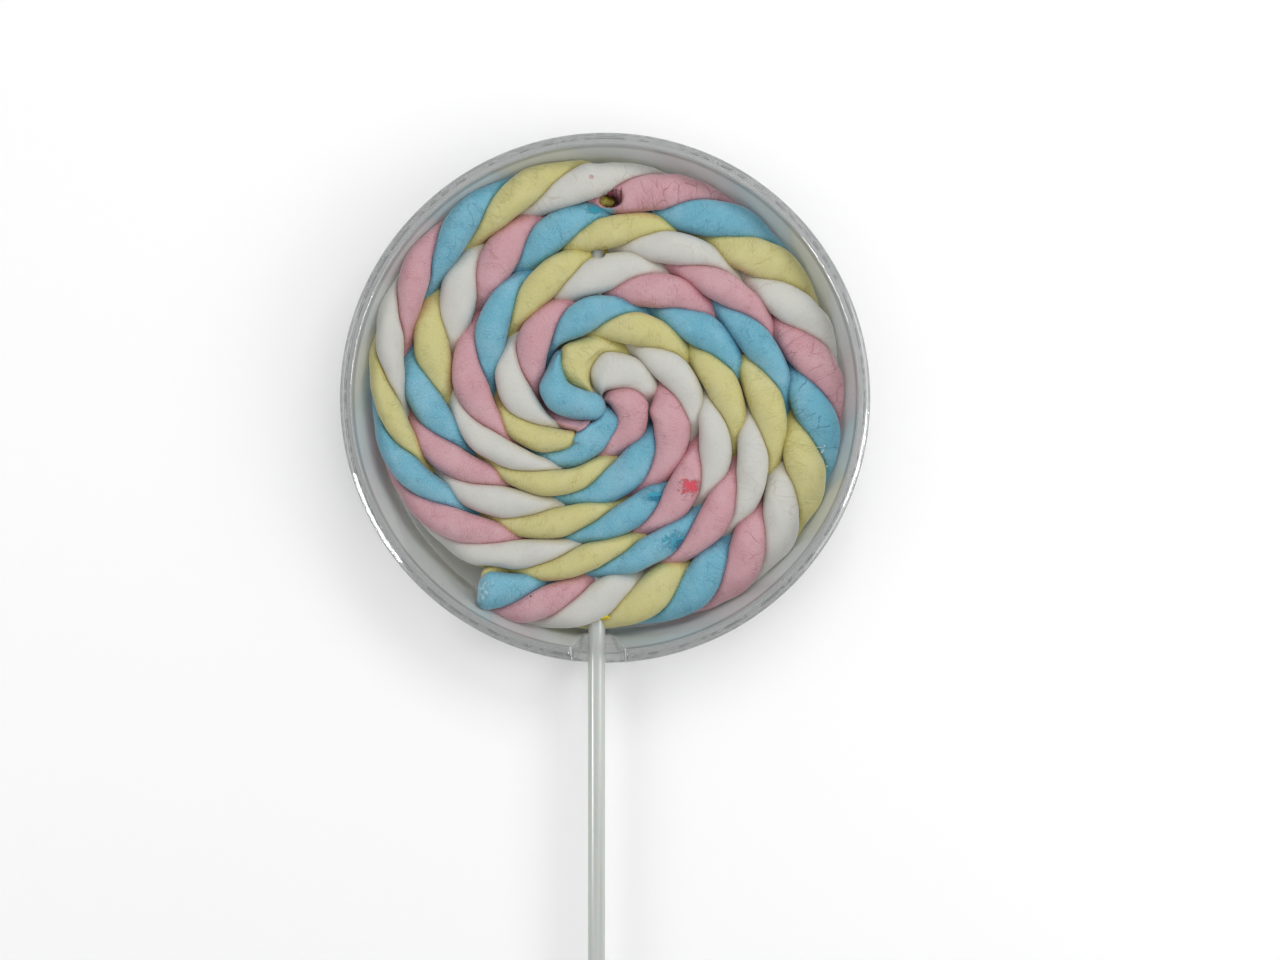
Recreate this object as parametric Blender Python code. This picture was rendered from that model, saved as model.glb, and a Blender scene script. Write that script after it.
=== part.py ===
"""Marshmallow lollipop: a rope of four twisted strands, coiled flat on a stick, in its clear tray.

The tray stands on its floor, with the middle of its underside at the origin and +Z up. The coil lies
in it with its shown side up, and the stick leaves through the notch in the rim towards -Y.
Units in Blender are metres. The dimensions below are millimetres and degrees.
"""

import math

import bmesh
import bpy

MM = 0.001

# Clear tray: one formed sheet with a floor, a flared wall, a stepped rim and a notch for the stick.
TRAY_DEPTH = 21.5
SHEET = 0.5
FLOOR_RADIUS = 58.7
WALL_FOOT = (59.3, 2.0)
WALL_TOP = (63.0, 21.0)
WALL_RINGS = 3
RIM_PROFILE = ((63.3, 21.5), (65.0, 21.5), (65.9, 20.8), (66.4, 18.5))
NOTCH_X = -0.3
NOTCH_FLOOR = 5.7
NOTCH_FLAT = 4.0
NOTCH_HALF_WIDTH = 9.0
NOTCH_RISE = 0.02
NOTCH_LIP = 1.2
NOTCH_SECTOR = 12
NOTCH_STEPS = 12
ROUND_STEPS = 36

# Hollow plastic stick.
STICK_DIAMETER = 4.5
STICK_BORE = 3.1
STICK_X = -2.4
STICK_HEIGHT = 8.7
STICK_TIP_Y = 50.0
STICK_LENGTH = 220.0
STICK_SIDES = 12

# Coil. Each number is the radius of the rope's outer edge, every eighth of a turn from 225 degrees,
# one row for each turn, because a hand-rolled coil follows no formula. The inner edge of a turn is
# the outer edge of the next one.
COIL_CENTRE = (-0.2, -0.2)
EDGE_ANGLE = 225
EDGE_STEP = 45
EDGE_RADII = (
    64.0, 57.0, 60.0, 60.5, 60.0, 61.0, 62.0, 59.0,
    54.0, 44.0, 46.0, 46.5, 46.5, 49.5, 52.0, 51.0,
    42.5, 35.5, 36.0, 35.5, 36.5, 38.0, 39.0, 39.0,
    31.0, 26.0, 25.0, 24.5, 24.5, 26.0, 28.5, 28.0,
    22.0, 14.5, 13.0, 13.0, 13.5, 16.0, 17.5, 16.0,
    10.0, 2.5, 1.0,
)
ROPE_START = 236
ROPE_END = 2036

# Length of rope in each full twist, from the free end inwards, and the twist at the free end.
LAY_LENGTHS = (53, 54, 59, 71, 68, 70, 65, 64, 59, 65, 60, 63, 71, 58, 57, 36)
TWIST_AT_START = -0.21
BLUE_AT_FIRST_TWIST = 135

# Rope section: a turn pressed narrow stands taller. Strands lie wider across the top and the bottom
# than where the turns press on each other.
ROPE_HEIGHT = 14.8
ROPE_NATURAL_HALF_WIDTH = 5.5
HEIGHT_SPREAD = 0.3
SQUARENESS = 2.8
TOP_SPREAD = 0.15
ROPE_BOTTOM = SHEET + 0.3
WEDGED_ANGLE = 480
WEDGED_SPREAD = 45
WEDGED_LIFT = 2.0
END_ROUNDING = 5.0
GAP = 0.3
TURN_GAP = 0.25
WALL_GAP = 0.5

# Strand section in units of the rope's radius: distance along the strand's own direction and half
# width there, from the rope's axis round the outside and back.
STRAND_SECTION = ((0.07, 0.0), (0.60, 0.53), (0.96, 0.24), (0.96, -0.24), (0.60, -0.53))
SECTION_CENTRE = 0.58
RINGS_PER_TWIST = 9
RING_SPACING_DEGREES = 15
STRAND_COLOURS = {
    "strand_blue": (0.19, 0.47, 0.62),
    "strand_pink": (0.58, 0.30, 0.36),
    "strand_white": (0.62, 0.62, 0.60),
    "strand_yellow": (0.60, 0.57, 0.27),
}


def clear_scene():
    for item in list(bpy.data.objects):
        bpy.data.objects.remove(item, do_unlink=True)


def make_material(name, colour, roughness, alpha=1.0):
    material = bpy.data.materials.new(name)
    material.use_nodes = True
    shader = material.node_tree.nodes["Principled BSDF"]
    shader.inputs["Base Color"].default_value = (*colour, 1.0)
    shader.inputs["Roughness"].default_value = roughness
    shader.inputs["Metallic"].default_value = 0.0
    shader.inputs["Alpha"].default_value = alpha
    return material


def make_object(name, vertices, faces, material):
    """A closed, smooth shaded object from points in millimetres."""
    mesh = bpy.data.meshes.new(name)
    mesh.from_pydata([tuple(value * MM for value in point) for point in vertices], [], faces)
    body = bmesh.new()
    body.from_mesh(mesh)
    bmesh.ops.recalc_face_normals(body, faces=body.faces)
    body.to_mesh(mesh)
    body.free()
    mesh.shade_smooth()
    mesh.set_sharp_from_angle(angle=math.radians(40))
    mesh.materials.append(material)
    item = bpy.data.objects.new(name, mesh)
    bpy.context.collection.objects.link(item)
    return item


def smooth_step(low, high, value):
    share = min(max((value - low) / (high - low), 0.0), 1.0)
    return share * share * (3.0 - 2.0 * share)


def spline(values, position):
    """Catmull-Rom curve through evenly spaced values. Beyond the list its end values hold."""
    last = len(values) - 1
    position = min(max(position, 0.0), float(last))
    index = min(int(position), last - 1)
    share = position - index
    before = values[max(index - 1, 0)]
    start = values[index]
    end = values[index + 1]
    after = values[min(index + 2, last)]
    slope_start = 0.5 * (end - before)
    slope_end = 0.5 * (after - start)
    square = share * share
    cube = square * share
    return (
        (2 * cube - 3 * square + 1) * start
        + (cube - 2 * square + share) * slope_start
        + (3 * square - 2 * cube) * end
        + (cube - square) * slope_end
    )


# ---- Tray ----

def wall_radius(height):
    """Inner radius of the tray's wall at a height."""
    share = (height - WALL_FOOT[1]) / (WALL_TOP[1] - WALL_FOOT[1])
    return WALL_FOOT[0] + share * (WALL_TOP[0] - WALL_FOOT[0])


def tray_profile():
    """Upper face of the sheet as (radius, height), from the edge of the floor to the skirt."""
    profile = [(FLOOR_RADIUS, SHEET)]
    for ring in range(WALL_RINGS + 1):
        height = WALL_FOOT[1] + ring / WALL_RINGS * (WALL_TOP[1] - WALL_FOOT[1])
        profile.append((wall_radius(height), height))
    profile.extend(RIM_PROFILE)
    return profile


def tray_angles():
    """Directions of the tray's columns, closer together across the notch."""
    angles = []
    for step in range(NOTCH_STEPS):
        angles.append(270 - NOTCH_SECTOR + step * 2 * NOTCH_SECTOR / NOTCH_STEPS)
    plain_sector = 360 - 2 * NOTCH_SECTOR
    for step in range(ROUND_STEPS):
        angles.append(270 + NOTCH_SECTOR + step * plain_sector / ROUND_STEPS)
    return [math.radians(angle) for angle in angles]


def cut_notch(radius, height, angle):
    """Lower a point of the sheet into the notch. The lip of the notch reaches out a little."""
    sideways = abs(radius * math.cos(angle) - NOTCH_X)
    if math.sin(angle) > 0 or sideways > NOTCH_HALF_WIDTH:
        return radius, height
    opening = 1.0 - smooth_step(NOTCH_FLAT, NOTCH_HALF_WIDTH, sideways)
    limit = TRAY_DEPTH - opening * (TRAY_DEPTH - NOTCH_FLOOR)
    if height <= limit:
        return radius, height
    rim_share = max(0.0, (radius - WALL_TOP[0]) / (RIM_PROFILE[-1][0] - WALL_TOP[0]))
    return radius + NOTCH_LIP * opening * rim_share, limit + NOTCH_RISE * (height - limit)


def make_tray():
    angles = tray_angles()
    vertices = []
    for radius, height in tray_profile():
        for angle in angles:
            reach, level = cut_notch(radius, height, angle)
            vertices.append((reach * math.cos(angle), reach * math.sin(angle), level))
    columns = len(angles)
    faces = [tuple(range(columns))]
    for ring in range(len(vertices) // columns - 1):
        for column in range(columns):
            following = (column + 1) % columns
            faces.append((
                ring * columns + column,
                (ring + 1) * columns + column,
                (ring + 1) * columns + following,
                ring * columns + following,
            ))
    plastic = make_material("clear_plastic", (0.62, 0.65, 0.65), 0.08, alpha=0.35)
    tray = make_object("tray", vertices, faces, plastic)
    if tray.data.polygons[0].normal.z < 0:
        tray.data.flip_normals()
    solid = tray.modifiers.new("sheet", "SOLIDIFY")
    solid.thickness = SHEET * MM
    solid.offset = -1.0
    solid.use_even_offset = True
    solid.use_quality_normals = True


# ---- Stick ----

def stick_ring(radius, y):
    """Corners of a many-sided ring round the stick's axis."""
    ring = []
    for side in range(STICK_SIDES):
        turn = 2 * math.pi * (side + 0.5) / STICK_SIDES
        ring.append((STICK_X + radius * math.cos(turn), y, STICK_HEIGHT + radius * math.sin(turn)))
    return ring


def join_rings(first, second, sides):
    """Quads between two rings that start at these vertex numbers."""
    return [
        (first + side, first + (side + 1) % sides, second + (side + 1) % sides, second + side)
        for side in range(sides)
    ]


def make_stick():
    tail_y = STICK_TIP_Y - STICK_LENGTH
    outer = STICK_DIAMETER / 2
    bore = STICK_BORE / 2
    vertices = []
    for radius, y in ((outer, tail_y), (outer, STICK_TIP_Y), (bore, STICK_TIP_Y), (bore, tail_y)):
        vertices.extend(stick_ring(radius, y))
    faces = []
    for ring in range(4):
        faces.extend(join_rings(ring * STICK_SIDES, (ring + 1) % 4 * STICK_SIDES, STICK_SIDES))
    make_object("stick", vertices, faces, make_material("stick_plastic", (0.55, 0.58, 0.55), 0.35))


def make_stick_cutter():
    """Guide that clears the stick's way through the coil, with the gap round it."""
    radius = STICK_DIAMETER / 2 + GAP
    ends = (STICK_TIP_Y + GAP, -EDGE_RADII[0] - STICK_DIAMETER)
    vertices = stick_ring(radius, ends[0]) + stick_ring(radius, ends[1])
    faces = join_rings(0, STICK_SIDES, STICK_SIDES)
    faces.append(tuple(range(STICK_SIDES)))
    faces.append(tuple(range(2 * STICK_SIDES - 1, STICK_SIDES - 1, -1)))
    cutter = make_object("stick_way", vertices, faces, make_material("guide", (0.5, 0.5, 0.5), 0.5))
    cutter.hide_render = True
    cutter.display_type = "WIRE"
    return cutter


# ---- Rope ----

def edge_radius(angle):
    return spline(EDGE_RADII, (angle - EDGE_ANGLE) / EDGE_STEP)


def rope_middle(angle):
    """Radius of the rope's middle and half its width, at a coil angle in degrees."""
    outer = edge_radius(angle) - TURN_GAP
    inner = edge_radius(angle + 360) + TURN_GAP
    return (outer + inner) / 2, max((outer - inner) / 2, 0.1)


def walk_rope():
    """Places along the rope, a degree apart, as (coil angle, distance from the free end, twist)."""
    twist = TWIST_AT_START
    distance = 0.0
    places = [(ROPE_START, distance, twist)]
    for angle in range(ROPE_START, ROPE_END):
        radius, _ = rope_middle(angle)
        next_radius, _ = rope_middle(angle + 1)
        step = math.hypot(next_radius - radius, radius * math.radians(1))
        distance += step
        twist += step / spline(LAY_LENGTHS, twist - 0.5)
        places.append((angle + 1, distance, twist))
    return places


def ring_places():
    """The places that carry a ring: even in twist, never far apart in angle, closer at the ends."""
    places = walk_rope()
    length = places[-1][1]
    chosen = [places[0]]
    for place in places[1:-1]:
        from_end = min(place[1], length - place[1])
        twist_step = min(1.0, 0.3 + 0.7 * from_end / (2 * END_ROUNDING)) / RINGS_PER_TWIST
        turned = place[2] - chosen[-1][2]
        swept = place[0] - chosen[-1][0]
        if turned >= twist_step or swept >= RING_SPACING_DEGREES:
            chosen.append(place)
    chosen.append(places[-1])
    return chosen, length


def end_size(from_end):
    """Share of the full section at a distance from a rounded end."""
    share = min((from_end + 0.1 * END_ROUNDING) / END_ROUNDING, 1.0)
    return math.sqrt(1.0 - (1.0 - share) ** 2)


def rope_point(angle, along, aside, direction):
    """Point of the squashed rope section at a coil angle, from a point of its round section.

    along and aside are measured in a strand whose middle points in direction, in degrees from the
    coil's outer side over the top.
    """
    turned = math.radians(direction) + math.atan2(aside, along)
    turned -= TOP_SPREAD * math.sin(2 * turned)
    out = math.cos(turned)
    up = math.sin(turned)
    corner = (abs(out) ** SQUARENESS + abs(up) ** SQUARENESS) ** (-1 / SQUARENESS)
    out *= corner * math.hypot(along, aside)
    up *= corner * math.hypot(along, aside)
    middle, half_width = rope_middle(angle)
    slimness = ROPE_NATURAL_HALF_WIDTH / max(half_width, 0.5 * ROPE_NATURAL_HALF_WIDTH)
    height = ROPE_HEIGHT * slimness ** HEIGHT_SPREAD
    wedged = math.exp(-((angle - WEDGED_ANGLE) / WEDGED_SPREAD) ** 2)
    z = ROPE_BOTTOM + WEDGED_LIFT * wedged + height / 2 * (1 + up)
    radius = min(middle + half_width * out, wall_radius(z) - WALL_GAP)
    theta = math.radians(angle)
    return COIL_CENTRE[0] + radius * math.cos(theta), COIL_CENTRE[1] + radius * math.sin(theta), z


def strand_faces(rings):
    """Triangles between the rings. Both faces of a joint between strands split the same way."""
    sides = len(STRAND_SECTION)
    faces = [tuple(range(sides)), tuple(range((rings - 1) * sides, rings * sides))]
    for ring in range(rings - 1):
        for side in range(sides):
            here = ring * sides + side
            beside = ring * sides + (side + 1) % sides
            ahead = here + sides
            ahead_beside = beside + sides
            if side == 0:
                faces.append((here, beside, ahead_beside))
                faces.append((here, ahead_beside, ahead))
            else:
                faces.append((here, beside, ahead))
                faces.append((beside, ahead_beside, ahead))
    return faces


def make_strand(name, order):
    """One strand of the rope. order counts the strands that cross the top before it."""
    places, length = ring_places()
    vertices = []
    for angle, distance, twist in places:
        direction = BLUE_AT_FIRST_TWIST - 90 * order + 360 * twist
        size = end_size(min(distance, length - distance))
        for along, aside in STRAND_SECTION:
            along = SECTION_CENTRE + (along - SECTION_CENTRE) * size
            vertices.append(rope_point(angle, along, aside * size, direction))
    marshmallow = make_material(name.replace("strand", "marshmallow"), STRAND_COLOURS[name], 0.85)
    return make_object(name, vertices, strand_faces(len(places)), marshmallow)


def keep_main_body(item):
    """Drop crumbs that the stick's way cuts off a strand."""
    body = bmesh.new()
    body.from_mesh(item.data)
    waiting = set(body.verts)
    pieces = []
    while waiting:
        piece = set()
        edge_of_piece = [waiting.pop()]
        while edge_of_piece:
            vertex = edge_of_piece.pop()
            piece.add(vertex)
            for edge in vertex.link_edges:
                other = edge.other_vert(vertex)
                if other in waiting:
                    waiting.remove(other)
                    edge_of_piece.append(other)
        pieces.append(piece)
    pieces.sort(key=len)
    for piece in pieces[:-1]:
        bmesh.ops.delete(body, geom=list(piece), context="VERTS")
    body.to_mesh(item.data)
    body.free()
    return len(pieces)


def clear_way(item, cutter):
    """Cut the stick's way out of a strand."""
    way = item.modifiers.new("stick_way", "BOOLEAN")
    way.operation = "DIFFERENCE"
    way.solver = "EXACT"
    way.object = cutter
    evaluated = item.evaluated_get(bpy.context.evaluated_depsgraph_get())
    cut_mesh = bpy.data.meshes.new_from_object(evaluated)
    item.modifiers.clear()
    item.data = cut_mesh
    return keep_main_body(item)


def build():
    clear_scene()
    make_tray()
    make_stick()
    cutter = make_stick_cutter()
    for order, name in enumerate(STRAND_COLOURS):
        strand = make_strand(name, order)
        bodies = clear_way(strand, cutter)
        print(name, "triangles", len(strand.data.loop_triangles), "bodies before tidying", bodies)


build()
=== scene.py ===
# %% [markdown]
# # A marshmallow lollipop in its clear tray
# Four long strands of marshmallow are laid side by side, twisted into one thick rope and rolled up
# flat on a hollow plastic stick. The sweet is packed in a clear formed tray with a notch for the stick.
# The solids that are loaded first hold the true sizes. Every piece made here takes its place from
# them, and stands for one of them or is a small extra, such as a crumb.
# Lengths below are millimetres and angles are degrees, unless a name says otherwise.

# %% Load the fixed frame
import math
import random

import bpy
import numpy as np
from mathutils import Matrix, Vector, noise
from mathutils.bvhtree import BVHTree


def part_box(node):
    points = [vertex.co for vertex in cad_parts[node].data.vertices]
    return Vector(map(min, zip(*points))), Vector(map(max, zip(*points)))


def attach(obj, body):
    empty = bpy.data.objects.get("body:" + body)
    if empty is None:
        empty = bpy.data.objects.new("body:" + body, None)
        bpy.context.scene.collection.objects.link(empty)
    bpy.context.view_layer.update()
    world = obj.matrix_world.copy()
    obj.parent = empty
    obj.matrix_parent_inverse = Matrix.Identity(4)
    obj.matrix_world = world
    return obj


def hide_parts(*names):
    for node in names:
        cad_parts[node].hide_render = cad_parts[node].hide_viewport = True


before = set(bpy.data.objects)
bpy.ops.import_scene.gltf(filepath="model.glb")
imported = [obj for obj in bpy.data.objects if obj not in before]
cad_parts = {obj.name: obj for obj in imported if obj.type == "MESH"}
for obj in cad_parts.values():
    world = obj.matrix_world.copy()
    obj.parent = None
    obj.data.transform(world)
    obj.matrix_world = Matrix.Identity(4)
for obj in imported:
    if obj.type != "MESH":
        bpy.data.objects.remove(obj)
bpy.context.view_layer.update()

MM = 0.001
BODY = "root"


def rounded_mm(points):
    """Points in metres, as millimetres for printing."""
    return [[round(value / MM, 1) for value in point] for point in points]


# %% [markdown]
# ## Measuring the frame
# The tray gives the rim's height and width, and the stick gives its axis and its ends. A helper turns
# a node's box into millimetres, so that the rest of the lesson can be read with a ruler in hand.

# %% Sizes read from the solids
def box_mm(node):
    low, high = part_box(node)
    return np.array(low) / MM, np.array(high) / MM


_, tray_high = box_mm("tray")
stick_low, stick_high = box_mm("stick")
stick_axis_x = (stick_low[0] + stick_high[0]) / 2
stick_axis_z = (stick_low[2] + stick_high[2]) / 2
stick_tail_y, stick_tip_y = stick_low[1], stick_high[1]
rim_radius = tray_high[0]
rim_top = tray_high[2]
print("rim radius", round(rim_radius, 2), "height", round(rim_top, 2))
print("stick axis", round(stick_axis_x, 2), round(stick_axis_z, 2), "from", stick_tail_y, "to", stick_tip_y)


# %% [markdown]
# ## The view and the studio
# The sweet lies flat and is looked at from straight above, so the camera hangs over it with the top of
# the view towards +Y. The floor is a plain pale sheet. The light is soft from all round, with two long
# lamps at the sides that draw the two pale lines along the stick. A lamp can be told what it gives: the
# two slim ones only gloss, which is the glint low on each side of the tray, and the wide one at the top
# only light, so that it brightens the sweet and leaves no streak on the plastic.

# %% Camera
CAMERA_PLACE = (8.7, -20.52, 500.0)
CAMERA_LENS = 54.1

camera_data = bpy.data.cameras.new("view_from_above")
camera_data.lens = CAMERA_LENS
camera_data.clip_start = 0.01
camera = bpy.data.objects.new("view_from_above", camera_data)
camera.location = [value * MM for value in CAMERA_PLACE]
bpy.context.scene.collection.objects.link(camera)
bpy.context.scene.camera = camera
print("camera", CAMERA_PLACE, "lens", CAMERA_LENS)


# %% Floor, world and lamps
FLOOR_SIZE = 4000.0
FLOOR_DROP = 0.05
FLOOR_COLOUR, FLOOR_ROUGHNESS = (0.93, 0.93, 0.93), 0.9
SKY_STRENGTH = 0.555
LAMPS = {
    "long_lamp_left": {"place": (-540, -60, 420), "size": (620, 320), "watts": 0.95, "gives": "all"},
    "long_lamp_right": {"place": (560, -60, 440), "size": (620, 320), "watts": 1.53, "gives": "all"},
    "slim_lamp_left": {"place": (-520, -242, 400), "size": (220, 90), "watts": 3.0, "gives": "gloss"},
    "slim_lamp_right": {"place": (560, -112, 400), "size": (220, 90), "watts": 1.6, "gives": "gloss"},
    "wide_lamp_top": {"place": (200, 420, 560), "size": (520, 260), "watts": 2.0, "gives": "light"},
}


def plain_material(name, colour, roughness):
    material = bpy.data.materials.new(name)
    material.use_nodes = True
    shader = material.node_tree.nodes["Principled BSDF"]
    shader.inputs["Base Color"].default_value = (*colour, 1.0)
    shader.inputs["Roughness"].default_value = roughness
    return material


def deselect_all():
    if bpy.context.object and bpy.context.object.mode == "EDIT":
        bpy.ops.object.mode_set(mode="OBJECT")
    bpy.ops.object.select_all(action="DESELECT")


deselect_all()
bpy.ops.mesh.primitive_plane_add(size=FLOOR_SIZE * MM, location=(0, 0, -FLOOR_DROP * MM))
floor = bpy.context.object
floor.name = "floor"
floor.data.materials.append(plain_material("pale_floor", FLOOR_COLOUR, FLOOR_ROUGHNESS))

sky = bpy.data.worlds.new("studio")
sky.use_nodes = True
sky.node_tree.nodes["Background"].inputs["Color"].default_value = (1.0, 1.0, 1.0, 1.0)
sky.node_tree.nodes["Background"].inputs["Strength"].default_value = SKY_STRENGTH
bpy.context.scene.world = sky
bpy.context.scene.view_settings.view_transform = "Standard"

for lamp_name, lamp in LAMPS.items():
    data = bpy.data.lights.new(lamp_name, "AREA")
    data.shape = "RECTANGLE"
    data.size = lamp["size"][0] * MM
    data.size_y = lamp["size"][1] * MM
    data.energy = lamp["watts"]
    light = bpy.data.objects.new(lamp_name, data)
    light.location = [value * MM for value in lamp["place"]]
    light.visible_diffuse = lamp["gives"] != "gloss"
    light.visible_glossy = lamp["gives"] != "light"
    light.rotation_euler = (-Vector(light.location)).to_track_quat("-Z", "Y").to_euler()
    bpy.context.scene.collection.objects.link(light)
print("lamps", list(LAMPS))


# %% [markdown]
# ## The coil as a drawing
# A rope rolled up by hand follows no formula, so its outer edge is drawn by its radius at every eighth
# of a turn, and a smooth curve runs through those radii. The inner edge of a turn is the outer edge of
# the next one, because the turns press on each other. These are the same radii as the solids have.

# %% The rope's edges
COIL_CENTRE = (-0.2, -0.2)
EDGE_ANGLE = 225
EDGE_STEP = 45
EDGE_RADII = (
    64.0, 57.0, 60.0, 60.5, 60.0, 61.0, 62.0, 59.0,
    54.0, 44.0, 46.0, 46.5, 46.5, 49.5, 52.0, 51.0,
    42.5, 35.5, 36.0, 35.5, 36.5, 38.0, 39.0, 39.0,
    31.0, 26.0, 25.0, 24.5, 24.5, 26.0, 28.5, 28.0,
    22.0, 14.5, 13.0, 13.0, 13.5, 16.0, 17.5, 16.0,
    10.0, 2.5, 1.0,
)
ROPE_START = 236
ROPE_END = 2036
# The turns sink into each other a little, so that their contact line waves with the strands.
TURN_OVERLAP = 1.15


def spline(values, position):
    """Smooth curve through evenly spaced values, read at many positions at once."""
    values = np.asarray(values, float)
    last = len(values) - 1
    position = np.clip(position, 0.0, last)
    index = np.minimum(position.astype(int), last - 1)
    share = position - index
    before, start = values[np.maximum(index - 1, 0)], values[index]
    end, after = values[index + 1], values[np.minimum(index + 2, last)]
    slope_start, slope_end = 0.5 * (end - before), 0.5 * (after - start)
    square, cube = share ** 2, share ** 3
    return (
        (2 * cube - 3 * square + 1) * start
        + (cube - 2 * square + share) * slope_start
        + (3 * square - 2 * cube) * end
        + (cube - square) * slope_end
    )


def rope_middle(angle, overlap=TURN_OVERLAP):
    """Radius of the rope's middle and half its width, at coil angles in degrees."""
    outer = spline(EDGE_RADII, (angle - EDGE_ANGLE) / EDGE_STEP) + overlap
    inner = spline(EDGE_RADII, (angle + 360 - EDGE_ANGLE) / EDGE_STEP) - overlap
    return (outer + inner) / 2, np.maximum((outer - inner) / 2, 0.1)


turns = (ROPE_END - ROPE_START) / 360
usual_width = float(2 * rope_middle(np.arange(300, 1700))[1].mean())
print("turns", turns, "rope width on average", round(usual_width, 1))


# %% [markdown]
# ## The twist
# Walking along the rope, the strands turn round its middle once in every 53 to 71 millimetres, and
# faster at the very end, which was rolled up tightest. The walk adds up the length and the twist a
# degree at a time. Rings are then placed closely and evenly along it.

# %% Walk the rope
LAY_LENGTHS = (53, 54, 59, 71, 68, 70, 65, 64, 59, 65, 60, 63, 71, 58, 57, 36)
TWIST_AT_START = -0.21
RINGS = 2300
RING_ANGLE_SHARE = 0.10


def walk_rope():
    """Coil angle, length from the free end and twist, at each degree of the coil."""
    angles = np.arange(ROPE_START, ROPE_END + 1.0)
    radii, _ = rope_middle(angles, overlap=-0.25)
    steps = np.hypot(np.diff(radii), radii[:-1] * math.radians(1))
    lengths = np.concatenate(([0.0], np.cumsum(steps)))
    twists = [TWIST_AT_START]
    for step in steps:
        lay = float(spline(LAY_LENGTHS, np.array([twists[-1] - 0.5]))[0])
        twists.append(twists[-1] + step / lay)
    return angles, lengths, np.array(twists)


walk_angles, walk_lengths, walk_twists = walk_rope()
ring_measure = walk_lengths + RING_ANGLE_SHARE * (walk_angles - ROPE_START)
ring_angles = np.interp(np.linspace(0, ring_measure[-1], RINGS), ring_measure, walk_angles)
ring_lengths = np.interp(ring_angles, walk_angles, walk_lengths)
ring_twists = np.interp(ring_angles, walk_angles, walk_twists)
rope_length = walk_lengths[-1]
print("rope length", round(rope_length), "mm, twists", round(walk_twists[-1] - walk_twists[0], 2))


# %% [markdown]
# ## One strand's section
# Four soft round strands pressed together fill a quarter of the rope each: two flat sides where they
# touch, and a round outside. The section is drawn as the smooth least distance to those three limits,
# as if a balloon were blown up between them.

# %% Section of a strand
SIDES = 40
SECTION_CENTRE = 0.58
LOBE_RADIUS = 0.50
FLAT_SIDE_GAP = -0.04
SECTION_SHARPNESS = 14.0
SIDE_CROWDING = 0.35
NO_LIMIT = 1e6


def strand_section():
    """Points round a strand as (along its own direction, aside), in units of the rope's radius."""
    evenly = np.linspace(0, 2 * math.pi, SIDES + 1)
    turn = evenly - SIDE_CROWDING * np.sin(evenly)
    sine, cosine = np.sin(turn), np.cos(turn)
    offset = SECTION_CENTRE - (1 - LOBE_RADIUS)
    limits = [-offset * cosine + np.sqrt(LOBE_RADIUS ** 2 - (offset * sine) ** 2)]
    for side in (1, -1):
        slope = side * sine - cosine
        flat_side = (SECTION_CENTRE - FLAT_SIDE_GAP) / np.maximum(slope, 1e-6)
        limits.append(np.where(slope > 1e-6, flat_side, NO_LIMIT))
    reach = sum(limit ** -SECTION_SHARPNESS for limit in limits) ** (-1 / SECTION_SHARPNESS)
    return SECTION_CENTRE + reach * cosine, reach * sine, turn


section_along, section_aside, section_turn = strand_section()
print("strand is", round(float(np.ptp(section_aside)), 2), "of the rope's radius wide")


# %% [markdown]
# ## From section to space
# In the coil the round rope is squashed: the top and the bottom spread, the sides flatten, and a turn
# that is pressed narrow stands taller. At one place the outer turn rides up on the tray's wall. Each
# point of a strand's section is turned round the rope's middle by the twist, squashed, and set at its
# radius and angle. A mesh tool can't do this by hand, so the points of a plain sheet are moved there.

# %% Place a strand's points
ROPE_HEIGHT = 14.8
NATURAL_HALF_WIDTH = 5.5
HALF_WIDTH_SET_IN = 1.4
HEIGHT_SPREAD = 0.3
SQUARENESS = 2.5
TOP_SPREAD = 0.30
ROPE_BOTTOM = 0.8
WEDGED_ANGLE, WEDGED_SPREAD, WEDGED_LIFT = 480, 45, 2.0
WALL_FOOT, WALL_TOP = (59.3, 2.0), (63.0, 21.0)
WALL_GAP = 0.3
END_ROUNDING = 3.0
END_SHARPNESS = 2.6
FIRST_DIRECTION = 135
STRANDS = ("strand_blue", "strand_pink", "strand_white", "strand_yellow")


def wall_radius(height):
    """Radius of the tray's flared wall at a height."""
    share = (height - WALL_FOOT[1]) / (WALL_TOP[1] - WALL_FOOT[1])
    return WALL_FOOT[0] + share * (WALL_TOP[0] - WALL_FOOT[0])


def end_size(lengths):
    """Share of the full section along the rope: blunt and round at both ends."""
    from_end = np.minimum(lengths, rope_length - lengths)
    share = np.clip((from_end + 0.02) / END_ROUNDING, 0, 1)
    return (1 - (1 - share) ** END_SHARPNESS) ** (1 / END_SHARPNESS)


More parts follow.
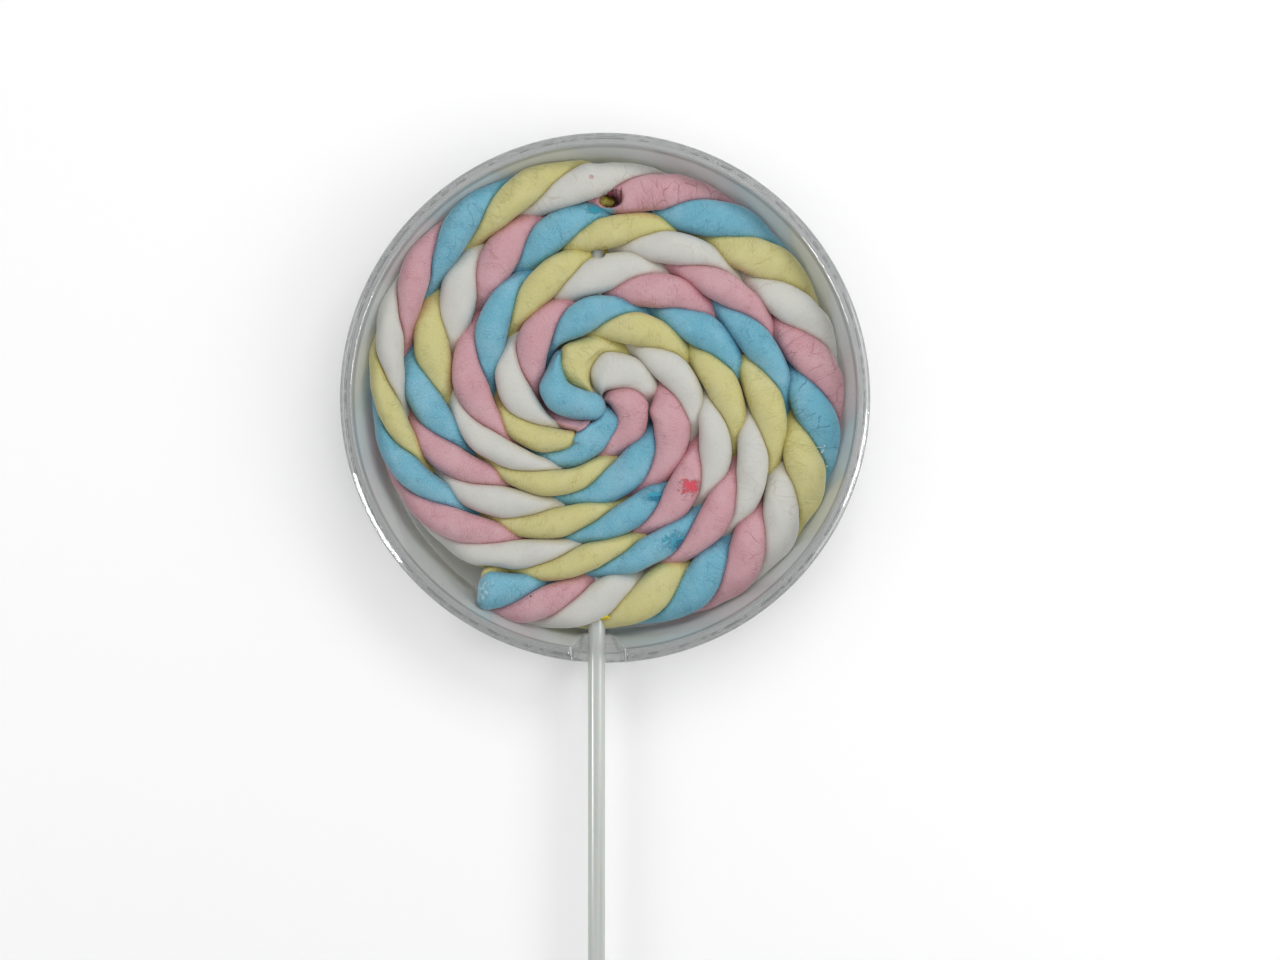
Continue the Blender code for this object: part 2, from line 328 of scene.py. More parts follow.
def strand_points(order, swelling, lift):
    """Points of a strand, one row for each side and one column for each ring."""
    size = (end_size(ring_lengths) * swelling)[None, :]
    along = SECTION_CENTRE + (section_along[:, None] - SECTION_CENTRE) * size
    aside = section_aside[:, None] * size
    direction = np.radians(FIRST_DIRECTION - 90 * order + 360 * ring_twists)[None, :]
    turned = direction + np.arctan2(aside, along)
    turned = turned - TOP_SPREAD * np.sin(2 * turned)
    out, up = np.cos(turned), np.sin(turned)
    corner = (np.abs(out) ** SQUARENESS + np.abs(up) ** SQUARENESS) ** (-1 / SQUARENESS)
    distance = np.hypot(along, aside) * corner
    middle, half_width = rope_middle(ring_angles)
    slimness = NATURAL_HALF_WIDTH / np.maximum(half_width - HALF_WIDTH_SET_IN, 0.5 * NATURAL_HALF_WIDTH)
    height = ROPE_HEIGHT * slimness ** HEIGHT_SPREAD
    wedged = WEDGED_LIFT * np.exp(-((ring_angles - WEDGED_ANGLE) / WEDGED_SPREAD) ** 2)
    z = ROPE_BOTTOM + wedged + height / 2 * (1 + up * distance) + lift[None, :]
    radius = np.minimum(middle + half_width * out * distance, wall_radius(z) - WALL_GAP)
    theta = np.radians(ring_angles)[None, :]
    return COIL_CENTRE[0] + radius * np.cos(theta), COIL_CENTRE[1] + radius * np.sin(theta), z


# %% [markdown]
# ## Making the strands
# A grid is added, one square for every ring and side. Its points are set on the strand's surface, the
# long seam is merged, and the two end holes are filled. The grid brings a UV map with it, which is
# then set in centimetres along and across the strand, so that cracks can follow its direction.
# Hand work moves the points a little further, one habit at a time:
# - the ends of some strands swell and lift;
# - a thumb nudges all strands sideways at some places, and pushes a single strand at others;
# - the blue strand's inner end bends along its own path to a round tip in the middle of the coil;
# - the strands dip into two pits between the outer turns;
# - kneading leaves wobbles and low lumps everywhere.

# %% Build the four strands
def bump_near(position, spread):
    """1 at a position along the rope, falling away smoothly on both sides of it."""
    return np.exp(-((ring_lengths - position) / spread) ** 2)


FLAT = np.zeros(RINGS)
SWELLINGS = {
    "strand_blue": (
        1 + 0.26 * bump_near(0, 7) + 0.46 * bump_near(rope_length, 7) + 0.12 * bump_near(rope_length - 45, 7)
    ),
    "strand_yellow": 1 + 0.22 * bump_near(0, 6),
}
LIFTS = {"strand_blue": 1.2 * bump_near(rope_length, 8) + 0.5 * bump_near(0, 8)}
TIP_PATH = ((0.1, -2.4), (-3.8, -2.2), (-6.9, -1.1), (-11.3, 0.1), (-14.1, 3.7), (-14.9, 7.9))
TIP_HALF_WIDTHS = (3.9, 3.9, 3.8, 4.3, 4.1, 4.0)
TIP_HALF_HEIGHT, TIP_MIDDLE = 4.4, 12.9
TIP_BLEND = (12.5, 20.0)
ROUND_TIPPED = "strand_blue"
# Each push on one strand: its place x, y, the move in x, y and z, and its reach.
OWN_PUSHES = {
    "strand_blue": (
        (-4.4, -8.2, -1.3, 1.1, 0.0, 2.4),
        (-7.6, -10.8, -1.5, -0.1, 0.0, 3.0),
        (-16.2, 3.5, -1.2, -0.1, 0.0, 3.2),
        (-13.2, 10.3, 0.5, 1.2, 0.0, 2.2),
        (11.6, -3.2, 0.0, 0.0, -1.6, 2.2),
    ),
    "strand_pink": (
        (-6.2, -7.2, 0.9, -0.3, 0.0, 2.0),
        (-4.0, -5.1, 0.0, -0.6, -1.2, 1.2),
        (-15.4, 0.0, 0.0, 0.0, -1.5, 2.5),
        (10.2, -2.6, 1.0, 0.0, 0.0, 1.9),
        (13.3, -3.0, -1.7, 0.0, 0.0, 2.2),
    ),
    "strand_white": ((11.6, -1.2, 0.0, 0.0, -2.0, 2.2), (11.2, -4.6, 0.0, 0.0, -2.0, 2.2)),
    "strand_yellow": ((-12.6, 11.8, 1.3, -1.2, 0.0, 2.4),),
}
WOBBLE_SIZE, WOBBLE = 7.0, 0.45
LUMP_SIZE, LUMP_HEIGHT = 5.0, 0.22
UV_HALF_WIDTH = 10.0
UV_SLANT = 0.77


def knead(places):
    """Move points a little, as kneading would: the same place always moves the same way."""
    for index, place in enumerate(places):
        sideways = noise.noise_vector(Vector((place[0] / WOBBLE_SIZE, place[1] / WOBBLE_SIZE, 0.0)))
        upwards = noise.noise(Vector(place) / LUMP_SIZE)
        places[index] += (WOBBLE * sideways.x, WOBBLE * sideways.y, LUMP_HEIGHT * upwards)
    return places


PITS = (
    {"x": 1.3, "y": 50.5, "wide": 3.9, "deep": 2.4, "floor": 8.4},
    {"x": -2.0, "y": 36.8, "wide": 2.4, "deep": 1.3, "floor": 8.4},
)
PIT_EDGE = (0.55, 1.25)
NUDGE_REACH = 3.2
# Each nudge of all strands: its place x, y, and the move in x and y. First the middle of the coil,
# then the edges of the pits, then the outer turn.
NUDGES = (
    (-8.0, 11.0, -3.0, 1.5), (-8.9, 7.8, -2.7, 1.5), (-7.6, 5.1, -2.7, 0.4), (-5.4, 2.7, -2.2, 0.8),
    (-2.9, 1.4, -1.3, 1.1), (-15.8, 3.9, -0.8, 0.0), (-1.3, 3.9, -2.7, 0.4), (-0.5, 7.0, -2.7, 0.4),
    (1.4, 9.4, -2.3, 1.0), (0.1, 0.0, -0.6, 0.4), (-13.2, -1.2, 0.0, -2.0), (-9.3, -3.5, 1.0, -1.3),
    (-3.1, -3.1, -0.6, -3.0), (-0.3, -1.2, 0.0, -1.6), (-2.3, -5.5, -1.8, -2.0), (-2.6, -7.9, -3.2, -0.9),
    (-0.9, -6.3, -2.6, 0.0), (0.0, -3.9, -2.2, 0.0), (2.6, -6.3, 1.0, 0.0),
    (1.0, 47.6, 0.0, -0.9), (5.5, 47.2, 0.0, -1.2), (9.5, 46.5, 0.0, -0.6),
    (-1.0, 59.6, 0.0, -1.3), (4.0, 59.4, -0.1, -1.2), (9.0, 58.4, -0.1, -0.8), (15.0, 57.0, -0.2, -0.6),
    (21.0, 55.2, -0.2, -0.5), (-58.8, 0.0, 0.6, 0.0), (-58.6, 6.0, 0.5, 0.0), (-58.2, -6.0, 0.4, 0.1),
    (54.5, 24.0, -0.5, -0.3), (50.5, -30.5, -0.5, 0.3), (-33.8, -51.1, 1.9, -0.3), (-29.7, -45.1, -1.5, 1.2),
    (-31.5, -47.7, -0.6, 0.2),
)


def smooth_step(share):
    """0 to 1 with level ends, for a share that is already between 0 and 1."""
    return share * share * (3 - 2 * share)


def press_pits(x, y, z):
    """Press the top of the strands down where the coil has a hole."""
    for pit in PITS:
        away = np.hypot((x - pit["x"]) / pit["wide"], (y - pit["y"]) / pit["deep"])
        rise = smooth_step(np.clip((away - PIT_EDGE[0]) / (PIT_EDGE[1] - PIT_EDGE[0]), 0, 1))
        z = np.minimum(z, pit["floor"] + rise * (rim_top - pit["floor"]))
    return z


def nudge(x, y):
    """Shift points sideways where a thumb pushed the soft strands over."""
    total, shift_x, shift_y = 1e-9, 0.0, 0.0
    for at_x, at_y, move_x, move_y in NUDGES:
        weight = np.exp(-((x - at_x) ** 2 + (y - at_y) ** 2) / NUDGE_REACH ** 2)
        total, shift_x, shift_y = total + weight, shift_x + weight * move_x, shift_y + weight * move_y
    share = 1 / np.maximum(total, 1.0)
    return x + shift_x * share, y + shift_y * share


def round_tip(order, x, y, z):
    """Bend the strand's inner end along its own path, and give it a round section and a blunt tip."""
    path = np.array(TIP_PATH)
    steps = np.concatenate(([0.0], np.cumsum(np.hypot(*np.diff(path, axis=0).T))))
    from_tip = np.minimum(rope_length - ring_lengths, steps[-1])
    curve_x, curve_y = np.polyfit(steps, path[:, 0], 4), np.polyfit(steps, path[:, 1], 4)
    half_width = np.polyval(np.polyfit(steps, TIP_HALF_WIDTHS, 4), from_tip)
    ahead_x, ahead_y = -np.polyval(np.polyder(curve_x), from_tip), -np.polyval(np.polyder(curve_y), from_tip)
    length = np.hypot(ahead_x, ahead_y)
    cap = np.sqrt(1 - np.clip(1 - from_tip / TIP_HALF_WIDTHS[0], 0, 1) ** 2)[None, :]
    turned = np.radians(FIRST_DIRECTION - 90 * order + 360 * ring_twists)[None, :]
    turned = turned + np.arctan2(section_aside, section_along - SECTION_CENTRE)[:, None]
    out, up = cap * np.cos(turned), cap * np.sin(turned)
    share = smooth_step(np.clip((TIP_BLEND[1] - from_tip) / (TIP_BLEND[1] - TIP_BLEND[0]), 0, 1))[None, :]
    near_x = np.polyval(curve_x, from_tip) + half_width * out * ahead_y / length
    near_y = np.polyval(curve_y, from_tip) - half_width * out * ahead_x / length
    near_z = TIP_MIDDLE + TIP_HALF_HEIGHT * up
    return x + share * (near_x - x), y + share * (near_y - y), z + share * (near_z - z)


def push_own(name, x, y, z):
    """Shift only this strand's points, where it alone was pressed out of line."""
    for at_x, at_y, move_x, move_y, move_z, reach in OWN_PUSHES.get(name, ()):
        weight = np.exp(-((x - at_x) ** 2 + (y - at_y) ** 2) / reach ** 2)
        x, y, z = x + move_x * weight, y + move_y * weight, z + move_z * weight
    return x, y, z


def make_strand(name, order):
    """One strand as a closed, smooth mesh. The order is its place round the rope."""
    deselect_all()
    bpy.ops.mesh.primitive_grid_add(x_subdivisions=RINGS - 1, y_subdivisions=SIDES, size=1)
    strand = bpy.context.object
    strand.name = strand.data.name = name.replace("strand", "marshmallow")
    x, y, z = strand_points(order, SWELLINGS.get(name, FLAT + 1), LIFTS.get(name, FLAT))
    x, y = nudge(x, y)
    if name == ROUND_TIPPED:
        x, y, z = round_tip(order, x, y, z)
    x, y, z = push_own(name, x, y, z)
    z = press_pits(x, y, z)
    places = knead(np.stack((x, y, z), axis=-1).reshape(-1, 3))
    strand.data.vertices.foreach_set("co", (places * MM).astype(np.float32).ravel())
    set_strand_uv(strand.data)
    bpy.ops.object.mode_set(mode="EDIT")
    bpy.ops.mesh.select_all(action="SELECT")
    bpy.ops.mesh.remove_doubles(threshold=1e-8)
    bpy.ops.mesh.select_all(action="SELECT")
    bpy.ops.mesh.fill_holes(sides=0)
    bpy.ops.mesh.normals_make_consistent(inside=False)
    bpy.ops.object.mode_set(mode="OBJECT")
    bpy.ops.object.shade_smooth()
    return strand


def set_strand_uv(mesh):
    """Centimetres along the strand and across it, straightened so that they meet at a right angle."""
    width = UV_HALF_WIDTH * section_turn / math.pi - UV_HALF_WIDTH
    stretch = math.hypot(1, UV_SLANT)
    along = ring_lengths[None, :] * stretch + UV_SLANT / stretch * width[:, None]
    across = np.repeat(width[:, None] / stretch, RINGS, axis=1)
    by_vertex = np.stack((along, across), axis=-1).reshape(-1, 2) / 10.0
    corners = np.empty(len(mesh.loops), np.int32)
    mesh.loops.foreach_get("vertex_index", corners)
    mesh.uv_layers[0].name = "along_strand"
    mesh.uv_layers[0].data.foreach_set("uv", by_vertex[corners].astype(np.float32).ravel())


strands = {name: make_strand(name, order) for order, name in enumerate(STRANDS)}
for name, strand in strands.items():
    print(name, "faces", len(strand.data.polygons))


# %% [markdown]
# ## Where the strands touch
# Along every line of contact the surface is creased, and its colour is partly the colours running
# into each other and partly painted shade, darker towards the crease. To know where that is, rays go
# out from each point: one straight away from the surface, and a ring of tilted ones. How soon the
# straight ray meets another strand says how deep in the crease the point is, and how many of the
# tilted ones do says how sheltered it is. Both are kept on the mesh, with one colour for what lies on
# the other side.

# %% Find the creases
CREASE_REACH = 4.0
CREASE_START = 0.12
SHELTER_REACH = 8.0
SHELTER_RAYS = 6
SHELTER_TILT = math.radians(50)
# A point that faces further down than this is never seen, so no rays are spent on it.
LOWEST_SLOPE = 0.0
# The colour each strand lends its neighbours: run colour, and the tint of the painted shade there.
BLEED_AND_SHADE_TINTS = {
    "strand_blue": (0.13, 0.46, 0.62),
    "strand_pink": (0.80, 0.20, 0.25),
    "strand_white": (0.76, 0.68, 0.52),
    "strand_yellow": (0.80, 0.66, 0.07),
}


def tree_of_strands():
    """One search tree of all strands, and the number of the first face of each."""
    corners, faces, first_faces = [], [], []
    for strand in strands.values():
        first_faces.append(len(faces))
        start = len(corners)
        corners += [vertex.co[:] for vertex in strand.data.vertices]
        faces += [[start + corner for corner in face.vertices] for face in strand.data.polygons]
    return BVHTree.FromPolygons(corners, faces), np.array(first_faces)


def find_creases():
    """Write the attributes crease, shelter and neighbour on every strand."""
    tree, first_faces = tree_of_strands()
    bleeds = np.array([BLEED_AND_SHADE_TINTS[name] for name in strands])
    turns_of_rays = np.linspace(0, 2 * math.pi, SHELTER_RAYS, endpoint=False)
    ring = [(math.cos(turn), math.sin(turn)) for turn in turns_of_rays]
    for name, strand in strands.items():
        count = len(strand.data.vertices)
        depths, shelters = np.zeros(count, np.float32), np.zeros(count, np.float32)
        colours = np.tile(np.array((*BLEED_AND_SHADE_TINTS[name], 1.0), np.float32), (count, 1))
        for index, vertex in enumerate(strand.data.vertices):
            way = vertex.normal
            if way.z < LOWEST_SLOPE:
                continue
            start = vertex.co + way * CREASE_START * MM
            aside = way.orthogonal().normalized()
            across = way.cross(aside)
            outwards, sideways = math.cos(SHELTER_TILT), math.sin(SHELTER_TILT)
            tilted = [way * outwards + (aside * x + across * y) * sideways for x, y in ring]
            blocked, tint = 0.0, np.zeros(3)
            for ray_index, ray in enumerate([way] + tilted):
                _, facing, face, distance = tree.ray_cast(start, ray, SHELTER_REACH * MM)
                if distance is None:
                    continue
                if facing.dot(ray) > 0:
                    distance = 0.0
                share = 1 - distance / (SHELTER_REACH * MM)
                tint += share * share * bleeds[np.searchsorted(first_faces, face, side="right") - 1]
                blocked += share * share
                if ray_index == 0:
                    depths[index] = max(0.0, 1 - distance / (CREASE_REACH * MM))
                else:
                    shelters[index] += share / SHELTER_RAYS
            if blocked > 0:
                colours[index, :3] = tint / blocked
        attributes = strand.data.attributes
        attributes.new("crease", "FLOAT", "POINT").data.foreach_set("value", depths)
        attributes.new("shelter", "FLOAT", "POINT").data.foreach_set("value", shelters)
        attributes.new("neighbour", "FLOAT_COLOR", "POINT").data.foreach_set("color", colours.ravel())
        print(name, "share of points in a crease", round(float((depths > 0).mean()), 2))


find_creases()


# %% [markdown]
# ## Building materials by the node
# Each effect that several finishes share is a node group: it takes a few numbers and gives back masks
# and heights. Small helpers add a node with its settings, make a group with named sockets, place it in
# a material, and do the sums, ranges, noises and colour mixes that come back again and again.

# %% Helpers for node trees
def add_node(tree, kind, settings=None, **inputs):
    """Add a node. An input is a value or another node's output, named with _ for a space, or _0, _1 and so on."""
    node = tree.nodes.new("ShaderNode" + kind)
    for key, value in (settings or {}).items():
        setattr(node, key, value)
    for key, value in inputs.items():
        by_number = key[1:].isdigit()
        socket = node.inputs[int(key[1:]) if by_number else key.replace("_", " ")]
        if isinstance(value, bpy.types.NodeSocket):
            tree.links.new(value, socket)
        else:
            socket.default_value = value
    return node


def new_group(name, inputs, outputs):
    """A node group from its inputs as name: value, and its outputs as name: kind."""
    group = bpy.data.node_groups.new(name, "ShaderNodeTree")
    for socket_name, default in inputs.items():
        socket = group.interface.new_socket(socket_name, in_out="INPUT", socket_type="NodeSocketFloat")
        socket.default_value = default
    for socket_name, kind in outputs.items():
        group.interface.new_socket(socket_name, in_out="OUTPUT", socket_type="NodeSocket" + kind)
    return group, group.nodes.new("NodeGroupInput").outputs, group.nodes.new("NodeGroupOutput").inputs


def use_group(tree, group, **inputs):
    """Place a group in a material with its own values, and give back its outputs."""
    return add_node(tree, "Group", {"node_tree": group}, **inputs).outputs


def math_node(tree, operation, first, second=0.0, clamp=False):
    settings = {"operation": operation, "use_clamp": clamp}
    return add_node(tree, "Math", settings, _0=first, _1=second).outputs[0]


def multiply(tree, first, second):
    return math_node(tree, "MULTIPLY", first, second)


def vector_math(tree, operation, *vectors):
    """The vector that comes out of a sum, product or the like of vectors."""
    inputs = {f"_{index}": vector for index, vector in enumerate(vectors)}
    return add_node(tree, "VectorMath", {"operation": operation}, **inputs).outputs["Vector"]


def map_range(tree, value, low, high, new_low=0.0, new_high=1.0):
    """Carry a value from one range to another, with level ends."""
    settings = {"interpolation_type": "SMOOTHSTEP"}
    ranges = {"From_Min": low, "From_Max": high, "To_Min": new_low, "To_Max": new_high}
    return add_node(tree, "MapRange", settings, Value=value, **ranges).outputs[0]


def noise_node(tree, place, scale, detail, settings=None, **inputs):
    """The grey value of a noise pattern."""
    node = add_node(tree, "TexNoise", settings, Vector=place, Scale=scale, Detail=detail, **inputs)
    return node.outputs["Fac"]


def mix_colour(tree, share, first, second, blend="MIX"):
    """Mix two colours. Colours are sockets or plain (r, g, b)."""
    node = add_node(tree, "Mix", {"data_type": "RGBA", "blend_type": blend})
    for index, value in ((0, share), (6, first), (7, second)):
        if isinstance(value, bpy.types.NodeSocket):
            tree.links.new(value, node.inputs[index])
        else:
            node.inputs[index].default_value = value if index == 0 else (*value, 1.0)
    return node.outputs[2]


# %% [markdown]
# ## Cracks and wrinkles
# Marshmallow skin dries and cracks across the strand when the rope is twisted. The cracks are the
# borders between long thin cells, laid in the strand's own UV map, which counts centimetres. There are
# three kinds: long cracks in patches, fine hairs that gather near the creases, and a loose net. Most of
# them are on the outer turns, on the side that dried first. A soft cross wrinkle and fine grain lie
# over all of it, and the cracks cut into them, which the material turns into bump.

# %% Group: cracked skin
# Each kind of crack: cells to a centimetre along and across, line width in a cell, and how far it wanders.
LONG_CRACKS = ((3.0, 1.5), 0.030, 0.6)
HAIR_CRACKS = ((14.0, 4.5), 0.13, 0.6)
NET_CRACKS = ((6.5, 3.0), 0.045, 0.6)
WRINKLES_PER_CM = (16.0, 3.2, 1.0)
GRAINS_PER_CM = 34.0
OUTER_TURNS = (28, 50)
DRY_SIDE = (-35, 25)


def crack_lines(group, uv, scale, line_width, wander):
    """Lines between long cells, `scale` of them to a centimetre along and across the strand."""
    flat = {"noise_dimensions": "2D"}
    drift = add_node(group, "TexNoise", flat, Vector=uv, Scale=0.7 * scale[0], Detail=3.0).outputs["Color"]
    centred = vector_math(group, "SUBTRACT", drift, (0.5, 0.5, 0.5))
    reach = (wander / scale[0], wander / scale[1], 0)
    shifted = vector_math(group, "MULTIPLY_ADD", centred, reach, uv)
    cells = vector_math(group, "MULTIPLY", shifted, (*scale, 1.0))
    settings = {"voronoi_dimensions": "2D", "feature": "DISTANCE_TO_EDGE"}
    border = add_node(group, "TexVoronoi", settings, Vector=cells, Scale=1.0).outputs["Distance"]
    return map_range(group, border, 0.2 * line_width, line_width, 1.0, 0.0)


def outer_dry_turns(group):
    """1 on the outer turns where the sweet dried most, and less near the middle and on the other side."""
    place = add_node(group, "TexCoord").outputs["Object"]
    flat_place = vector_math(group, "MULTIPLY", place, (1.0, 1.0, 0.0))
    from_centre = add_node(group, "VectorMath", {"operation": "LENGTH"}, _0=flat_place).outputs["Value"]
    outside = map_range(group, from_centre, OUTER_TURNS[0] * MM, OUTER_TURNS[1] * MM, 0.15, 1.0)
    split = add_node(group, "SeparateXYZ", None, Vector=place).outputs
    side = math_node(group, "ADD", split[0], multiply(group, split[1], 0.8))
    return multiply(group, outside, map_range(group, side, DRY_SIDE[0] * MM, DRY_SIDE[1] * MM, 0.2, 1.0))


def make_cracked_skin():
    group, given, result = new_group(
        "cracked_skin",
        {"Long cracks": 0.5, "Fine cracks": 0.5},
        {"Cracks": "Float", "Height": "Float"},
    )
    uv = add_node(group, "UVMap", {"uv_map": "along_strand"}).outputs[0]
    shelter = add_node(group, "Attribute", {"attribute_name": "shelter"}).outputs["Fac"]
    flat = {"noise_dimensions": "2D"}
    patch = noise_node(group, uv, 0.9, 2.0, flat)
    broken = noise_node(group, uv, 6.0, 2.0, flat)
    near_edge = map_range(group, shelter, 0.08, 0.50)
    outside = outer_dry_turns(group)

    where = math_node(group, "ADD", patch, multiply(group, near_edge, 0.10))
    where = multiply(group, map_range(group, where, 0.46, 0.57), given["Long cracks"])
    long_lines = multiply(group, crack_lines(group, uv, *LONG_CRACKS), where)
    long_lines = multiply(group, long_lines, map_range(group, broken, 0.30, 0.44, 0.2, 1.0))
    long_lines = multiply(group, long_lines, outside)

    mottled = noise_node(group, uv, 2.6, 3.0, flat)
    where = math_node(group, "ADD", mottled, multiply(group, near_edge, 0.25))
    unbroken = map_range(group, broken, 0.34, 0.60, 0.5, 1.0)
    where = multiply(group, map_range(group, where, 0.42, 0.68), unbroken)
    hair_lines = multiply(group, crack_lines(group, uv, *HAIR_CRACKS), where)
    where = math_node(group, "ADD", patch, multiply(group, mottled, 0.5))
    net_lines = multiply(group, crack_lines(group, uv, *NET_CRACKS), map_range(group, where, 0.66, 0.90))
    net_lines = multiply(group, net_lines, multiply(group, outside, 0.5))
    fine_lines = math_node(group, "MAXIMUM", multiply(group, hair_lines, 0.65), net_lines)
    fine_lines = multiply(group, fine_lines, given["Fine cracks"])
    cracks = math_node(group, "MAXIMUM", long_lines, fine_lines)
    group.links.new(cracks, result["Cracks"])

    wrinkle_at = vector_math(group, "MULTIPLY", uv, WRINKLES_PER_CM)
    wrinkle = noise_node(group, wrinkle_at, 1.0, 3.0, flat, Distortion=0.6)
    wrinkle = multiply(group, wrinkle, map_range(group, near_edge, 0.0, 1.0, 0.15, 0.6))
    grain = noise_node(group, uv, GRAINS_PER_CM, 2.0, flat)
    relief = add_node(group, "Math", {"operation": "MULTIPLY_ADD"}, _0=grain, _1=0.16, _2=wrinkle).outputs[0]
    group.links.new(math_node(group, "SUBTRACT", relief, multiply(group, cracks, 0.40)), result["Height"])
    return group


cracked_skin = make_cracked_skin()
print("group", cracked_skin.name, "gives", [item.name for item in cracked_skin.interface.items_tree])


# %% [markdown]
# ## Sugar dust
# The sweet is rolled in starch and icing sugar so that it doesn't stick. The dust stays as a pale bloom
# in patches and as fine grains, and here and there a dark speck has settled in it. It reads Object
# coordinates, because it fell on the finished coil and doesn't follow the strands. More of it lies on
# the side away from +X and +Y.

# %% Group: sugar dust
# Pattern scales here and below are in cells to a metre.
BLOOM_SCALE, GRAIN_SCALE, SPECK_SCALE = 95.0, 4300.0, 105.0
DUSTY_SIDE = 50


def make_sugar_dust():
    group, given, result = new_group("sugar_dust", {"Amount": 0.5}, {"Dust": "Float", "Specks": "Float"})
    place = add_node(group, "TexCoord").outputs["Object"]
    bloom = noise_node(group, place, BLOOM_SCALE, 5.0, Roughness=0.62)
    low = math_node(group, "SUBTRACT", 0.85, multiply(group, given["Amount"], 0.5))
    bloom = map_range(group, bloom, low, 0.95)
    grains = map_range(group, noise_node(group, place, GRAIN_SCALE, 1.0), 0.54, 0.70)
    split = add_node(group, "SeparateXYZ", None, Vector=place).outputs
    side = multiply(group, math_node(group, "ADD", split[0], multiply(group, split[1], 0.6)), -1.0)
    side = math_node(group, "ADD", side, multiply(group, bloom, 0.02))
    dusty_side = map_range(group, side, -DUSTY_SIDE * MM, DUSTY_SIDE * MM, 0.45, 1.0)
    grains = multiply(group, grains, multiply(group, given["Amount"], dusty_side))
    dust = math_node(group, "MAXIMUM", multiply(group, bloom, 0.6), grains)
    group.links.new(dust, result["Dust"])
    cells = {"feature": "F1"}
    specks = add_node(group, "TexVoronoi", cells, Vector=place, Scale=SPECK_SCALE).outputs["Distance"]
    group.links.new(map_range(group, specks, 0.015, 0.03, 1.0, 0.0), result["Specks"])
    return group


sugar_dust = make_sugar_dust()
print("group", sugar_dust.name)


# %% [markdown]
# ## Torn spots
# In a few places the skin tore when the sweet was pulled from its neighbours, and the dyed, wet inside
# shows as a small strongly coloured scab. A scab is a ragged patch round a point of the coil. One patch
# of the same kind is painted shade instead: the shadowed wall of the hole near the top. One noise
# pattern, made once in the material, frays the edges of all of them through Unevenness.

# %% Group: spot, for torn skin and for painted shade
def make_scab_and_shade_spot():
    group, given, result = new_group(
        "scab_and_shade_spot",
        {"X": 0.0, "Y": 0.0, "Half width": 2.5, "Half height": 1.6, "Raggedness": 1.0, "Unevenness": 0.5},
        {"Spot": "Float"},
    )
    place = add_node(group, "TexCoord").outputs["Object"]
    split = add_node(group, "SeparateXYZ", None, Vector=place).outputs
    squares = []
    for axis, centre, half in ((0, "X", "Half width"), (1, "Y", "Half height")):
        in_mm = multiply(group, split[axis], 1 / MM)
        share = math_node(group, "DIVIDE", math_node(group, "SUBTRACT", in_mm, given[centre]), given[half])
        squares.append(multiply(group, share, share))
    away = math_node(group, "SQRT", math_node(group, "ADD", *squares))
    frayed = multiply(group, math_node(group, "SUBTRACT", given["Unevenness"], 0.5), 4.0)
    frayed = multiply(group, frayed, given["Raggedness"])
    near = math_node(group, "ADD", math_node(group, "SUBTRACT", 1.0, away), frayed)
    inside = map_range(group, away, 1.0, 1.5, 1.0, 0.0)
    group.links.new(multiply(group, map_range(group, near, 0.0, 0.5), inside), result["Spot"])
    return group


scab_and_shade_spot = make_scab_and_shade_spot()
print("group", scab_and_shade_spot.name)


# %% [markdown]
# ## Marshmallow
# Marshmallow is soft and full of air, so light goes in and comes out again a little further on: the
# shader gets some subsurface scattering, and no gloss. Its colour is mottled, paler where dusted,
# deeper in the cracks, and runs into the neighbour's colour along the creases, where it is also
# painted darker as shade.

# %% Colours of the marshmallow
TEAL_HALO, PINK_SCAB = (0.030, 0.290, 0.430), (0.330, 0.050, 0.080)
